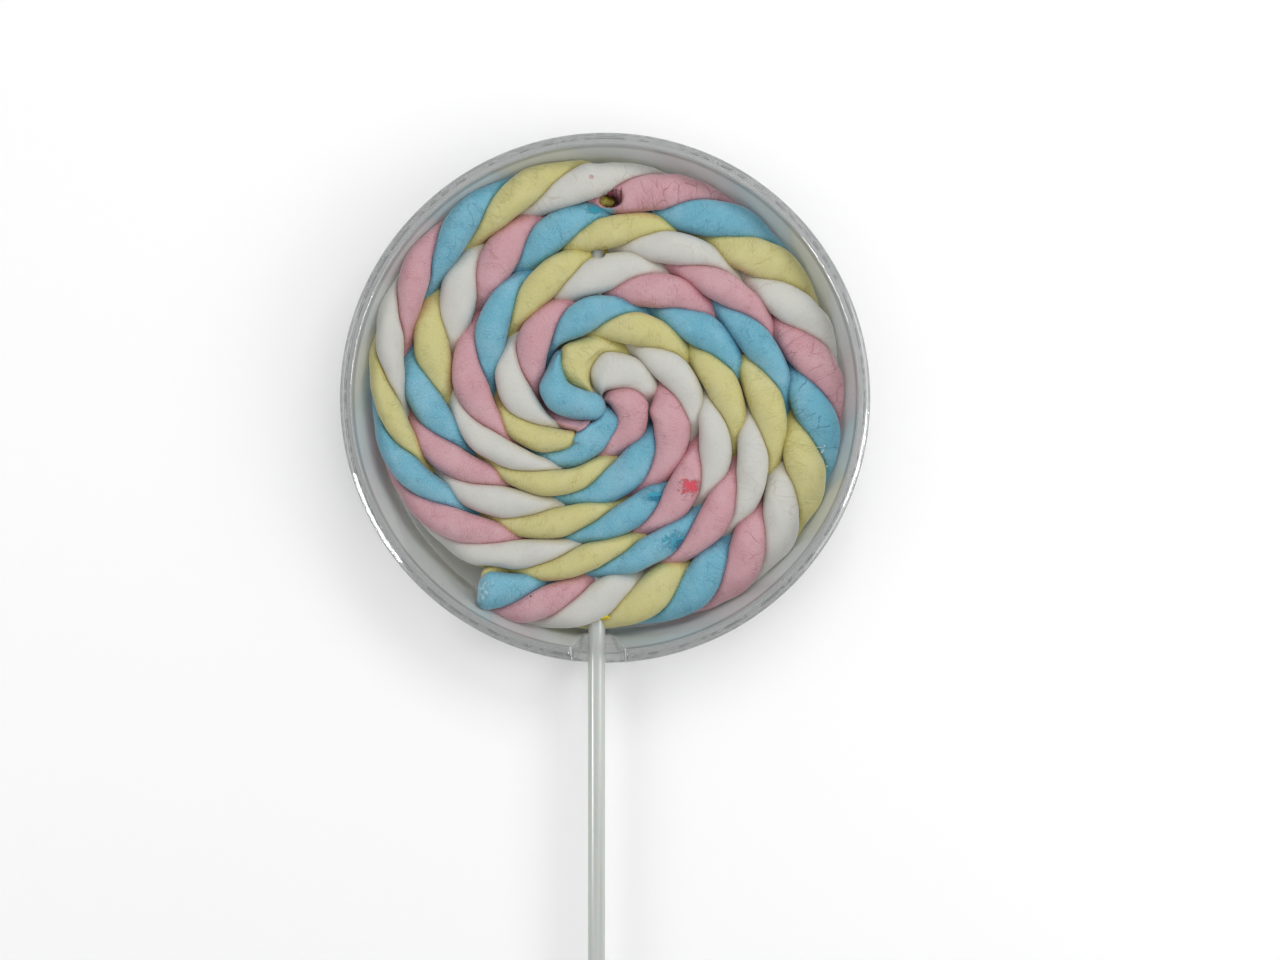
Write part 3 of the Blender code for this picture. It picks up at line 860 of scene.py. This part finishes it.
# The edge colour is laid near other strands as painted shade, and in the fine grain. The crack colour darkens the
# cracks and, as painted shade, the lines where strands touch.
# Each spot: its place x, y, its half width and half height, its raggedness and its colour.
MARSHMALLOWS = {
    "strand_blue": {
        "colour": (0.135, 0.375, 0.485), "mottle": (0.190, 0.425, 0.530),
        "edge": (0.014, 0.185, 0.300), "crack": (0.010, 0.110, 0.180),
        "long": 0.9, "fine": 0.8, "dust": 0.75,
        "spots": (
            (12.4, -24.6, 3.2, 1.7, 1.0, TEAL_HALO), (13.2, -25.2, 2.4, 0.8, 0.7, (0.002, 0.160, 0.280)),
            (18.4, -36.2, 3.4, 2.6, 1.3, TEAL_HALO), (19.2, -36.9, 1.9, 1.4, 1.0, (0.002, 0.140, 0.250)),
            (-2.6, 48.0, 3.2, 1.3, 0.9, (0.020, 0.240, 0.330)),
            # This spot is painted shade: the shadowed wall of the hole, right of the stick's cap.
            (2.0, 50.8, 2.8, 2.0, 0.1, (0.200, 0.100, 0.120)),
            (-31.6, -48.6, 2.2, 3.4, 1.4, (0.300, 0.520, 0.600)),
        ),
    },
    "strand_pink": {
        "colour": (0.520, 0.290, 0.322), "mottle": (0.550, 0.335, 0.365),
        "edge": (0.380, 0.130, 0.160), "crack": (0.300, 0.060, 0.080),
        "long": 0.9, "fine": 0.8, "dust": 0.62,
        "spots": (
            (21.4, -22.3, 3.0, 2.0, 1.2, (0.580, 0.055, 0.085)),
            (-0.8, 52.2, 4.4, 1.6, 0.8, PINK_SCAB),
            (3.9, 51.2, 0.40, 2.8, 0.4, (0.200, 0.015, 0.030)),
            (-0.4, 47.7, 3.6, 1.1, 0.3, (0.120, 0.360, 0.460)),
            (-18.9, -49.9, 0.3, 0.3, 0.1, (0.050, 0.020, 0.030)),
        ),
    },
    "strand_white": {
        "colour": (0.548, 0.548, 0.515), "mottle": (0.525, 0.528, 0.505),
        "edge": (0.440, 0.410, 0.350), "crack": (0.290, 0.220, 0.130),
        "long": 0.45, "fine": 0.3, "dust": 0.0,
        "spots": ((-3.5, 55.6, 0.7, 0.6, 0.3, (0.500, 0.300, 0.290)),),
    },
    "strand_yellow": {
        "colour": (0.530, 0.498, 0.222), "mottle": (0.545, 0.515, 0.262),
        "edge": (0.380, 0.320, 0.060), "crack": (0.240, 0.180, 0.020),
        "long": 0.6, "fine": 0.75, "dust": 0.25,
        "spots": ((-0.2, 38.0, 0.9, 0.6, 0.6, (0.520, 0.380, 0.040)),),
    },
}
DUST_COLOUR, SPECK_COLOUR = (0.60, 0.62, 0.63), (0.06, 0.05, 0.05)
print("colours of", sorted(MARSHMALLOWS), "spots", sum(len(look["spots"]) for look in MARSHMALLOWS.values()))


# %% Material: marshmallow
SUBSURFACE_RADIUS = (1.0, 0.85, 0.75)
BUMP_HEIGHT = 0.30


def run_colours_and_paint_crease_shade(tree, look, colour):
    """Near another strand the colour runs into the neighbour's and is painted darker as shade, most of all where
    they touch.
    """
    crease = add_node(tree, "Attribute", {"attribute_name": "crease"}).outputs["Fac"]
    shelter = add_node(tree, "Attribute", {"attribute_name": "shelter"}).outputs["Fac"]
    neighbour = add_node(tree, "Attribute", {"attribute_name": "neighbour"}).outputs["Color"]
    # Painted shade: the more sheltered a point, the darker it is and the more tinted by the neighbour.
    near_edge = map_range(tree, shelter, 0.0, 0.55)
    colour = mix_colour(tree, multiply(tree, near_edge, 0.40), colour, neighbour, "MULTIPLY")
    colour = mix_colour(tree, multiply(tree, near_edge, 0.30), colour, look["edge"])
    # Painted shade line where the strands touch, darkened by the neighbour's colour and the crack colour.
    contact = map_range(tree, crease, 0.90, 0.99)
    colour = mix_colour(tree, contact, colour, neighbour, "MULTIPLY")
    colour = mix_colour(tree, multiply(tree, contact, 0.5), colour, neighbour, "MULTIPLY")
    return mix_colour(tree, multiply(tree, contact, 0.45), colour, look["crack"])


def make_marshmallow(name, look):
    material = bpy.data.materials.new(name.replace("strand", "marshmallow"))
    material.use_nodes = True
    tree = material.node_tree
    shader = tree.nodes["Principled BSDF"]
    skin = use_group(tree, cracked_skin, Long_cracks=look["long"], Fine_cracks=look["fine"])
    sugar = use_group(tree, sugar_dust, Amount=look["dust"])
    place = add_node(tree, "TexCoord").outputs["Object"]
    patches = noise_node(tree, place, 120.0, 4.0)
    colour = mix_colour(tree, map_range(tree, patches, 0.40, 0.68), look["colour"], look["mottle"])
    colour = run_colours_and_paint_crease_shade(tree, look, colour)
    colour = mix_colour(tree, multiply(tree, skin["Cracks"], 0.62), colour, look["crack"])
    grain = noise_node(tree, place, 3200.0, 1.0)
    colour = mix_colour(tree, map_range(tree, grain, 0.30, 0.75, 0.0, 0.22), colour, look["edge"])
    colour = mix_colour(tree, multiply(tree, sugar["Dust"], 0.42), colour, DUST_COLOUR)
    colour = mix_colour(tree, multiply(tree, sugar["Specks"], 0.7), colour, SPECK_COLOUR)
    height = skin["Height"]
    uneven = noise_node(tree, place, 1000.0, 4.0, Roughness=0.75, Distortion=0.8)
    # Scabs of torn skin, and in the blue one spot of painted shade in the hole.
    for x, y, half_width, half_height, ragged, spot_colour in look["spots"]:
        size = {"Half_width": half_width, "Half_height": half_height}
        spot_mask = use_group(tree, scab_and_shade_spot, X=x, Y=y, Raggedness=ragged, Unevenness=uneven, **size)["Spot"]
        colour = mix_colour(tree, multiply(tree, spot_mask, 0.95), colour, spot_colour)
        height = math_node(tree, "SUBTRACT", height, multiply(tree, spot_mask, 0.5))
    tree.links.new(colour, shader.inputs["Base Color"])
    tree.links.new(map_range(tree, patches, 0.3, 0.7, 0.72, 0.88), shader.inputs["Roughness"])
    bump = add_node(tree, "Bump", None, Strength=1.0, Distance=BUMP_HEIGHT * MM, Height=height)
    tree.links.new(bump.outputs["Normal"], shader.inputs["Normal"])
    shader.inputs["Subsurface Weight"].default_value = 0.12
    shader.inputs["Subsurface Radius"].default_value = SUBSURFACE_RADIUS
    shader.inputs["Subsurface Scale"].default_value = 0.5 * MM
    shader.inputs["Specular IOR Level"].default_value = 0.25
    shader.inputs["Sheen Weight"].default_value = 0.30
    shader.inputs["Sheen Roughness"].default_value = 0.45
    return material


for name, strand in strands.items():
    strand.data.materials.append(make_marshmallow(name, MARSHMALLOWS[name]))
    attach(strand, BODY)
    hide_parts(name)
print("finished strands", sorted(strands))


# %% [markdown]
# ## The stick
# The real stick is a drawn plastic tube. A cylinder without ends is given a wall by Solidify, and its
# cut ends get a small bevel. The plastic is cloudy, with faint streaks along the way it was drawn.

# %% Stick
STICK_WALL = 0.7
STICK_SIDES = 64
STICK_END_BEVEL = 0.12
BEVEL_OVER, SMOOTH_UNDER = 60, 40


def apply_modifiers(piece):
    bpy.context.view_layer.objects.active = piece
    for modifier in list(piece.modifiers):
        bpy.ops.object.modifier_apply(modifier=modifier.name)


def place_in_mesh(piece):
    """Move the object's place, turn and size into its mesh."""
    deselect_all()
    piece.select_set(True)
    bpy.context.view_layer.objects.active = piece
    bpy.ops.object.transform_apply(location=True, rotation=True, scale=True)


def make_stick():
    deselect_all()
    length = stick_tip_y - stick_tail_y
    bpy.ops.mesh.primitive_cylinder_add(
        vertices=STICK_SIDES,
        radius=(stick_high[0] - stick_low[0]) / 2 * MM,
        depth=length * MM,
        end_fill_type="NOTHING",
        location=(stick_axis_x * MM, (stick_tip_y - length / 2) * MM, stick_axis_z * MM),
        rotation=(math.pi / 2, 0, 0),
    )
    tube = bpy.context.object
    tube.name = tube.data.name = "hollow_stick"
    place_in_mesh(tube)
    wall = tube.modifiers.new("wall", "SOLIDIFY")
    wall.thickness = STICK_WALL * MM
    wall.offset = -1.0
    wall.use_even_offset = True
    bevel = tube.modifiers.new("ends", "BEVEL")
    bevel.width = STICK_END_BEVEL * MM
    bevel.segments = 2
    bevel.limit_method = "ANGLE"
    bevel.angle_limit = math.radians(BEVEL_OVER)
    apply_modifiers(tube)
    bpy.ops.object.shade_smooth_by_angle(angle=math.radians(SMOOTH_UNDER))
    return tube


stick = make_stick()
print("stick faces", len(stick.data.polygons), "length", round(stick_tip_y - stick_tail_y), "mm")


# %% Material: cloudy plastic of the stick
STREAK_SCALES = (900.0, 18.0, 900.0)
STICK_SHADE, STICK_COLOUR = (0.47, 0.50, 0.47), (0.52, 0.55, 0.52)


def make_cloudy_plastic():
    material = bpy.data.materials.new("cloudy_plastic")
    material.use_nodes = True
    tree = material.node_tree
    shader = tree.nodes["Principled BSDF"]
    place = add_node(tree, "TexCoord").outputs["Object"]
    drawn = add_node(tree, "Mapping", None, Vector=place, Scale=STREAK_SCALES).outputs[0]
    streaks = noise_node(tree, drawn, 1.0, 3.0)
    colour = mix_colour(tree, map_range(tree, streaks, 0.3, 0.7), STICK_SHADE, STICK_COLOUR)
    tree.links.new(colour, shader.inputs["Base Color"])
    tree.links.new(map_range(tree, streaks, 0.3, 0.7, 0.26, 0.34), shader.inputs["Roughness"])
    shader.inputs["Subsurface Weight"].default_value = 0.3
    shader.inputs["Subsurface Scale"].default_value = 0.8 * MM
    return material


stick.data.materials.append(make_cloudy_plastic())
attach(stick, BODY)
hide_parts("stick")


# %% [markdown]
# ## Yellow dabs and sugar crumbs
# Sticky yellow marshmallow clings to the stick: a rounded cap on its tip, seen at the bottom of the hole
# near the top, and a few bright dabs where the stick goes in. The cap's yellow is painted dark olive,
# as shade at the bottom of the hole. Each dab is a small sphere, squashed and made uneven. The white
# crumbs are smaller grains, in two heaps on the outer turn near the +X side.

# %% Dabs on the stick
# Each dab: its middle and its three radii.
YELLOW_DABS = (
    ((-0.9, -55.0, 11.6), (1.7, 1.1, 1.1)),
    ((0.5, -55.3, 10.9), (0.9, 0.7, 0.9)),
    ((-3.3, -56.2, 10.9), (1.3, 0.55, 0.5)),
    ((-4.7, -56.8, 9.9), (0.9, 0.45, 0.6)),
)
TIP_CAP = ((-0.05, 50.2, 10.3), (2.2, 1.6, 1.5))
DAB_UNEVENNESS = 0.22
DAB_ROUNDNESS, CRUMB_ROUNDNESS = 4, 2
CAP_SEED, CRUMB_SEED = 9, 4


def add_blob(middle, radii, subdivisions, unevenness, seed):
    """A sphere, squashed to its radii, with an uneven surface. It sits at its place in its mesh."""
    deselect_all()
    bpy.ops.mesh.primitive_ico_sphere_add(subdivisions=subdivisions, radius=1.0)
    blob = bpy.context.object
    for vertex in blob.data.vertices:
        vertex.co *= 1 + unevenness * noise.noise(vertex.co * 1.6 + Vector((seed * 7.3, 0.0, 0.0)))
    blob.scale = [radius * MM for radius in radii]
    blob.location = [value * MM for value in middle]
    place_in_mesh(blob)
    bpy.ops.object.shade_smooth()
    return blob


def join_pieces(pieces, name):
    deselect_all()
    for piece in pieces:
        piece.select_set(True)
    bpy.context.view_layer.objects.active = pieces[0]
    if len(pieces) > 1:
        bpy.ops.object.join()
    joined = bpy.context.object
    joined.name = joined.data.name = name
    return joined


dabs = join_pieces(
    [add_blob(*dab, DAB_ROUNDNESS, DAB_UNEVENNESS, index) for index, dab in enumerate(YELLOW_DABS)],
    "yellow_dabs",
)
cap = join_pieces([add_blob(*TIP_CAP, DAB_ROUNDNESS, DAB_UNEVENNESS, CAP_SEED)], "stick_cap")
print("dabs", len(YELLOW_DABS), "faces", len(dabs.data.polygons), "and", len(cap.data.polygons))


# %% Sugar crumbs
# Each heap: its middle, its spread and the number of its grains.
CRUMB_HEAPS = (((54.3, -12.6), 1.1, 9), ((54.6, -15.8), 1.6, 8))
CRUMB_SIZES = (0.10, 0.26)
CRUMB_UNEVENNESS = 0.5


def add_crumbs():
    """Small grains in heaps, each resting on the strand under it."""
    draw = random.Random(CRUMB_SEED)
    depsgraph = bpy.context.evaluated_depsgraph_get()
    trees = [BVHTree.FromObject(strand, depsgraph) for strand in strands.values()]
    crumbs = []
    for (x, y), spread, count in CRUMB_HEAPS:
        for _ in range(count):
            size = draw.uniform(*CRUMB_SIZES)
            at_x, at_y = x + draw.gauss(0, spread / 2), y + draw.gauss(0, spread / 2)
            above = Vector((at_x * MM, at_y * MM, 2 * rim_top * MM))
            hits = [tree.ray_cast(above, Vector((0, 0, -1)))[0] for tree in trees]
            tops = [hit.z / MM for hit in hits if hit is not None]
            if not tops:
                continue
            top = max(tops)
            radii = (size, size * draw.uniform(0.6, 1.0), size * 0.7)
            middle = (at_x, at_y, top + 0.3 * size)
            crumbs.append(add_blob(middle, radii, CRUMB_ROUNDNESS, CRUMB_UNEVENNESS, draw.random()))
    return join_pieces(crumbs, "sugar_crumbs")


crumbs = add_crumbs()
print("crumb faces", len(crumbs.data.polygons))


# %% Materials: sticky yellow and sugar
def make_uneven_material(name, dark, light, scale, roughness, bump_height):
    """A colour that wanders between two shades, with a matching bump."""
    material = bpy.data.materials.new(name)
    material.use_nodes = True
    tree = material.node_tree
    shader = tree.nodes["Principled BSDF"]
    place = add_node(tree, "TexCoord").outputs["Object"]
    patches = noise_node(tree, place, scale, 4.0)
    colour = mix_colour(tree, map_range(tree, patches, 0.35, 0.65), dark, light)
    tree.links.new(colour, shader.inputs["Base Color"])
    rough = map_range(tree, patches, 0.35, 0.65, roughness, roughness + 0.15)
    tree.links.new(rough, shader.inputs["Roughness"])
    bump = add_node(tree, "Bump", None, Strength=0.8, Distance=bump_height * MM, Height=patches)
    tree.links.new(bump.outputs["Normal"], shader.inputs["Normal"])
    return material


# Each finish: its name, its dark and light colour, the pattern's scale, the roughness and the bump's height.
STICKY_YELLOW = ("sticky_yellow", (0.42, 0.31, 0.005), (0.66, 0.55, 0.02), 900.0, 0.35, 0.3)
# The cap's yellow, painted dark olive as shade at the bottom of the hole.
SHADED_STICKY_YELLOW = ("sticky_yellow_painted_shade", (0.17, 0.145, 0.012), (0.42, 0.39, 0.08), 420.0, 0.45, 0.3)
SUGAR = ("sugar", (0.62, 0.64, 0.64), (0.80, 0.81, 0.80), 3000.0, 0.5, 0.1)
dabs.data.materials.append(make_uneven_material(*STICKY_YELLOW))
cap.data.materials.append(make_uneven_material(*SHADED_STICKY_YELLOW))
crumbs.data.materials.append(make_uneven_material(*SUGAR))
for piece, slot in ((dabs, "marshmallow_yellow"), (cap, "marshmallow_yellow"), (crumbs, "marshmallow_white")):
    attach(piece, BODY)
    print(piece.name, "finished")


# %% [markdown]
# ## The tray
# A formed tray is one thin clear sheet. The wall starts as an open circle at the edge of the floor and
# is extruded ring by ring along the profile, as by hand: up the flared wall, over the rim, across the
# small step on it, and down the skirt. The circle is then filled to make the floor, and the notch is
# pressed down in code, because no tool lowers part of a ring along a smooth curve. Solidify makes the
# sheet from it. Two attributes are kept for the finish: profile is a point's radius in millimetres
# before the notch was pressed, and notch is how far into the notch it lies, from 0 to 1.

# %% Tray
TRAY_COLUMNS = 420
TRAY_SHEET = 0.5
FLOOR_RADIUS = 58.7
WALL_STEPS = 10
RIM_STEPS = (
    (62.95, 20.9), (63.1, 21.25), (63.4, 21.45), (63.8, 21.5), (64.5, 21.5), (64.8, 21.4),
    (64.92, 20.95), (65.15, 20.75), (65.6, 20.7), (65.95, 20.5), (66.15, 20.0), (66.3, 18.5),
)
NOTCH_FLOOR = 5.7
# The notch at the wall and at the skirt: its middle in x, its flat half width and its whole half width.
NOTCH_AT_WALL = (-2.2, 2.5, 8.0)
NOTCH_AT_SKIRT = (-1.5, 5.6, 7.0)
NOTCH_CROWDING = 0.8
NOTCH_FLATNESS = 0.02
NOTCH_LIP = 1.2
NOTCH_LIP_DROP = 0.8
TRAY_SMOOTH_UNDER = 50


def tray_profile():
    """Radius and height of each ring, from the edge of the floor to the foot of the skirt."""
    profile = [(58.95, 0.6), (59.15, 1.0), (59.25, 1.5)]
    for step in range(WALL_STEPS + 1):
        share = step / WALL_STEPS
        height = WALL_FOOT[1] + share * (WALL_TOP[1] - 0.5 - WALL_FOOT[1])
        profile.append((wall_radius(height), height))
    return profile + list(RIM_STEPS)


def press_notch(mesh):
    """Lower the wall and the rim into the notch, and keep each point's place on the profile."""
    profile = mesh.attributes.new("profile", "FLOAT", "POINT")
    notch = mesh.attributes.new("notch", "FLOAT", "POINT")
    for vertex in mesh.vertices:
        x, y, z = (value / MM for value in vertex.co)
        radius, angle = math.hypot(x, y), math.atan2(y, x)
        from_notch = (angle + math.pi / 2 + math.pi) % (2 * math.pi) - math.pi
        angle -= NOTCH_CROWDING * math.sin(from_notch)
        outwards = min(max((radius - WALL_FOOT[0]) / (rim_radius - WALL_FOOT[0]), 0.0), 1.0)
        middle, flat, half_width = (
            inner + outwards * (outer - inner) for inner, outer in zip(NOTCH_AT_WALL, NOTCH_AT_SKIRT)
        )
        sideways = abs(radius * math.cos(angle) - middle)
        profile.data[vertex.index].value = radius
        if math.sin(angle) < 0 and sideways < half_width:
            share = max((sideways - flat) / (half_width - flat), 0.0)
            opening = 1 - smooth_step(share)
            limit = rim_top - opening * (rim_top - NOTCH_FLOOR)
            notch.data[vertex.index].value = opening if z > NOTCH_FLOOR else 0.0
            if z > limit:
                skirt = 1.0 if radius > rim_radius - 0.05 else 0.0
                radius += NOTCH_LIP * opening * skirt
                z = limit + NOTCH_FLATNESS * (z - limit) - NOTCH_LIP_DROP * opening * skirt
        vertex.co = (radius * math.cos(angle) * MM, radius * math.sin(angle) * MM, z * MM)


def make_tray():
    deselect_all()
    bpy.ops.mesh.primitive_circle_add(
        vertices=TRAY_COLUMNS, radius=FLOOR_RADIUS * MM, fill_type="NOTHING", location=(0, 0, TRAY_SHEET * MM)
    )
    tray = bpy.context.object
    tray.name = tray.data.name = "clear_tray"
    place_in_mesh(tray)
    bpy.ops.object.mode_set(mode="EDIT")
    bpy.ops.mesh.select_all(action="SELECT")
    last_radius, last_height = FLOOR_RADIUS, TRAY_SHEET
    for radius, height in tray_profile():
        bpy.ops.mesh.extrude_edges_move(TRANSFORM_OT_translate={"value": (0, 0, (height - last_height) * MM)})
        scale = radius / last_radius
        bpy.ops.transform.resize(value=(scale, scale, 1.0), center_override=(0, 0, 0))
        last_radius, last_height = radius, height
    bpy.ops.mesh.select_all(action="DESELECT")
    bpy.ops.object.mode_set(mode="OBJECT")
    on_floor = [math.hypot(*vertex.co[:2]) < (FLOOR_RADIUS + 0.05) * MM for vertex in tray.data.vertices]
    for edge in tray.data.edges:
        edge.select = all(on_floor[index] for index in edge.vertices)
    bpy.ops.object.mode_set(mode="EDIT")
    bpy.ops.mesh.edge_face_add()
    bpy.ops.mesh.select_all(action="SELECT")
    bpy.ops.mesh.normals_make_consistent(inside=False)
    bpy.ops.object.mode_set(mode="OBJECT")
    press_notch(tray.data)
    floor_face = max(tray.data.polygons, key=lambda face: len(face.vertices))
    if floor_face.normal.z < 0:
        tray.data.flip_normals()
    sheet = tray.modifiers.new("sheet", "SOLIDIFY")
    sheet.thickness = TRAY_SHEET * MM
    sheet.offset = -1.0
    sheet.use_even_offset = True
    apply_modifiers(tray)
    bpy.ops.object.shade_smooth_by_angle(angle=math.radians(TRAY_SMOOTH_UNDER))
    return tray


tray = make_tray()
print("tray faces", len(tray.data.polygons), "box", rounded_mm((tray.bound_box[0], tray.bound_box[6])))


# %% [markdown]
# ## Clear plastic
# The sheet is clear with a faint smoky tint, and it is glossy. It lets the view through by its alpha,
# which Layer Weight raises where the sheet is seen almost edge on, as glass hides more at a slant. Its
# colour is painted light and shade by region: lighter on the floor, to make up for the coil's shade
# there, darker on the rim and lighter in the notch's plate. Thin painted shade lines and painted
# highlight lines run round the bends of the rim, set by the profile attribute, and the notch's
# shoulders get a painted highlight. Low ribs from the forming make its gloss uneven. Handling has left
# haze and a few specks of dirt.

# %% Material: smoky clear plastic
# One smoky sheet, given different colours by region as painted light and shade: lighter on the floor to make up
# for the coil's shade on it, darker on the rim, and lighter in the notch's plate.
FLOOR_TINT_PAINTED_LIGHTER, WALL_TINT = (0.80, 0.82, 0.79), (0.56, 0.59, 0.58)
RIM_TINT_PAINTED_DARKER, NOTCH_TINT_PAINTED_LIGHTER = (0.150, 0.165, 0.165), (0.52, 0.55, 0.53)
HAZE_COLOUR, DIRT_COLOUR = (0.5, 0.5, 0.5), (0.05, 0.05, 0.05)
SHOULDER_HIGHLIGHT_COLOUR, PAINTED_HIGHLIGHT_COLOUR = (0.85, 0.87, 0.87), (0.72, 0.74, 0.74)
PAINTED_SHADE_LINE_COLOUR = (0.06, 0.065, 0.065)
RIB_HEIGHT = 0.012
RIBS_AROUND, RIBS_ACROSS = 2.5, 3.4
PLASTIC_IOR = 2.3
# Each line on the rim: its radius, its half width and its strength. The dark lines are painted shade
# and the light lines painted highlights, where the rim's bends catch the light.
PAINTED_SHADE_LINES = ((65.02, 0.16, 0.75), (66.30, 0.12, 0.55))
PAINTED_HIGHLIGHT_LINES = ((63.10, 0.30, 0.45), (65.75, 0.20, 0.20))


def band(tree, value, middle, half_width):
    """1 where the value is near its middle, 0 outside the half width."""
    away = math_node(tree, "ABSOLUTE", math_node(tree, "SUBTRACT", value, middle))
    return map_range(tree, away, 0.3 * half_width, half_width, 1.0, 0.0)


def make_ribs(tree, place, profile, notch):
    """Height of the low ribs that run round the tray, strongest on the rim and faint in the notch."""
    around = vector_math(tree, "NORMALIZE", vector_math(tree, "MULTIPLY", place, (1.0, 1.0, 0.0)))
    around = add_node(tree, "VectorMath", {"operation": "SCALE"}, _0=around, Scale=RIBS_AROUND).outputs[0]
    across = add_node(tree, "CombineXYZ", None, Z=multiply(tree, profile, RIBS_ACROSS)).outputs[0]
    ribs = noise_node(tree, vector_math(tree, "ADD", around, across), 1.0, 1.0)
    ribs = multiply(tree, ribs, map_range(tree, profile, 62.0, 63.0, 0.10, 1.0))
    return multiply(tree, ribs, map_range(tree, notch, 0.0, 0.5, 1.0, 0.1))


def make_clear_plastic():
    material = bpy.data.materials.new("smoky_clear_plastic")
    material.use_nodes = True
    tree = material.node_tree
    shader = tree.nodes["Principled BSDF"]
    place = add_node(tree, "TexCoord").outputs["Object"]
    profile = add_node(tree, "Attribute", {"attribute_name": "profile"}).outputs["Fac"]
    notch = add_node(tree, "Attribute", {"attribute_name": "notch"}).outputs["Fac"]
    haze = noise_node(tree, place, 60.0, 4.0)
    # Painted light and shade by region: a lighter floor, a darker rim and a lighter notch.
    colour = mix_colour(tree, map_range(tree, profile, 58.8, 60.5), FLOOR_TINT_PAINTED_LIGHTER, WALL_TINT)
    colour = mix_colour(tree, map_range(tree, profile, 62.4, 63.0), colour, RIM_TINT_PAINTED_DARKER)
    colour = mix_colour(tree, notch, colour, NOTCH_TINT_PAINTED_LIGHTER)
    colour = mix_colour(tree, map_range(tree, haze, 0.3, 0.7, 0.0, 0.12), colour, HAZE_COLOUR)
    alpha = map_range(tree, profile, 62.3, 63.0, 0.30, 0.46)
    alpha = math_node(tree, "ADD", alpha, map_range(tree, haze, 0.35, 0.65, -0.03, 0.03))
    edge_on = add_node(tree, "LayerWeight", None, Blend=0.5).outputs["Facing"]
    alpha = math_node(tree, "MAXIMUM", alpha, map_range(tree, edge_on, 0.35, 0.75, 0.30, 0.85))
    broken = noise_node(tree, place, 420.0, 2.0)
    # Painted highlight along the shoulders of the notch.
    shoulder_highlight = multiply(tree, band(tree, notch, 0.10, 0.09), map_range(tree, profile, 62.6, 63.0))
    colour = mix_colour(tree, multiply(tree, shoulder_highlight, 0.8), colour, SHOULDER_HIGHLIGHT_COLOUR)
    # Painted highlights round the rim's bends.
    for middle, half_width, strength in PAINTED_HIGHLIGHT_LINES:
        line = multiply(tree, band(tree, profile, middle, half_width), strength)
        colour = mix_colour(tree, line, colour, PAINTED_HIGHLIGHT_COLOUR)
    # Painted shade lines round the rim's bends, made patchy.
    for middle, half_width, strength in PAINTED_SHADE_LINES:
        patchy_strength = map_range(tree, broken, 0.40, 0.55, 0.25, strength)
        line = multiply(tree, band(tree, profile, middle, half_width), patchy_strength)
        colour = mix_colour(tree, line, colour, PAINTED_SHADE_LINE_COLOUR)
        alpha = math_node(tree, "MAXIMUM", alpha, multiply(tree, line, 1.1))
    specks = add_node(tree, "TexVoronoi", {"feature": "F1"}, Vector=place, Scale=150.0).outputs["Distance"]
    colour = mix_colour(tree, map_range(tree, specks, 0.02, 0.035, 1.0, 0.0), colour, DIRT_COLOUR)
    tree.links.new(colour, shader.inputs["Base Color"])
    tree.links.new(alpha, shader.inputs["Alpha"])
    tree.links.new(map_range(tree, haze, 0.35, 0.65, 0.02, 0.05), shader.inputs["Roughness"])
    ribs = make_ribs(tree, place, profile, notch)
    bump = add_node(tree, "Bump", None, Strength=1.0, Distance=RIB_HEIGHT * MM, Height=ribs)
    tree.links.new(bump.outputs["Normal"], shader.inputs["Normal"])
    shader.inputs["IOR"].default_value = PLASTIC_IOR
    return material


tray.data.materials.append(make_clear_plastic())
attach(tray, BODY)
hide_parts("tray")
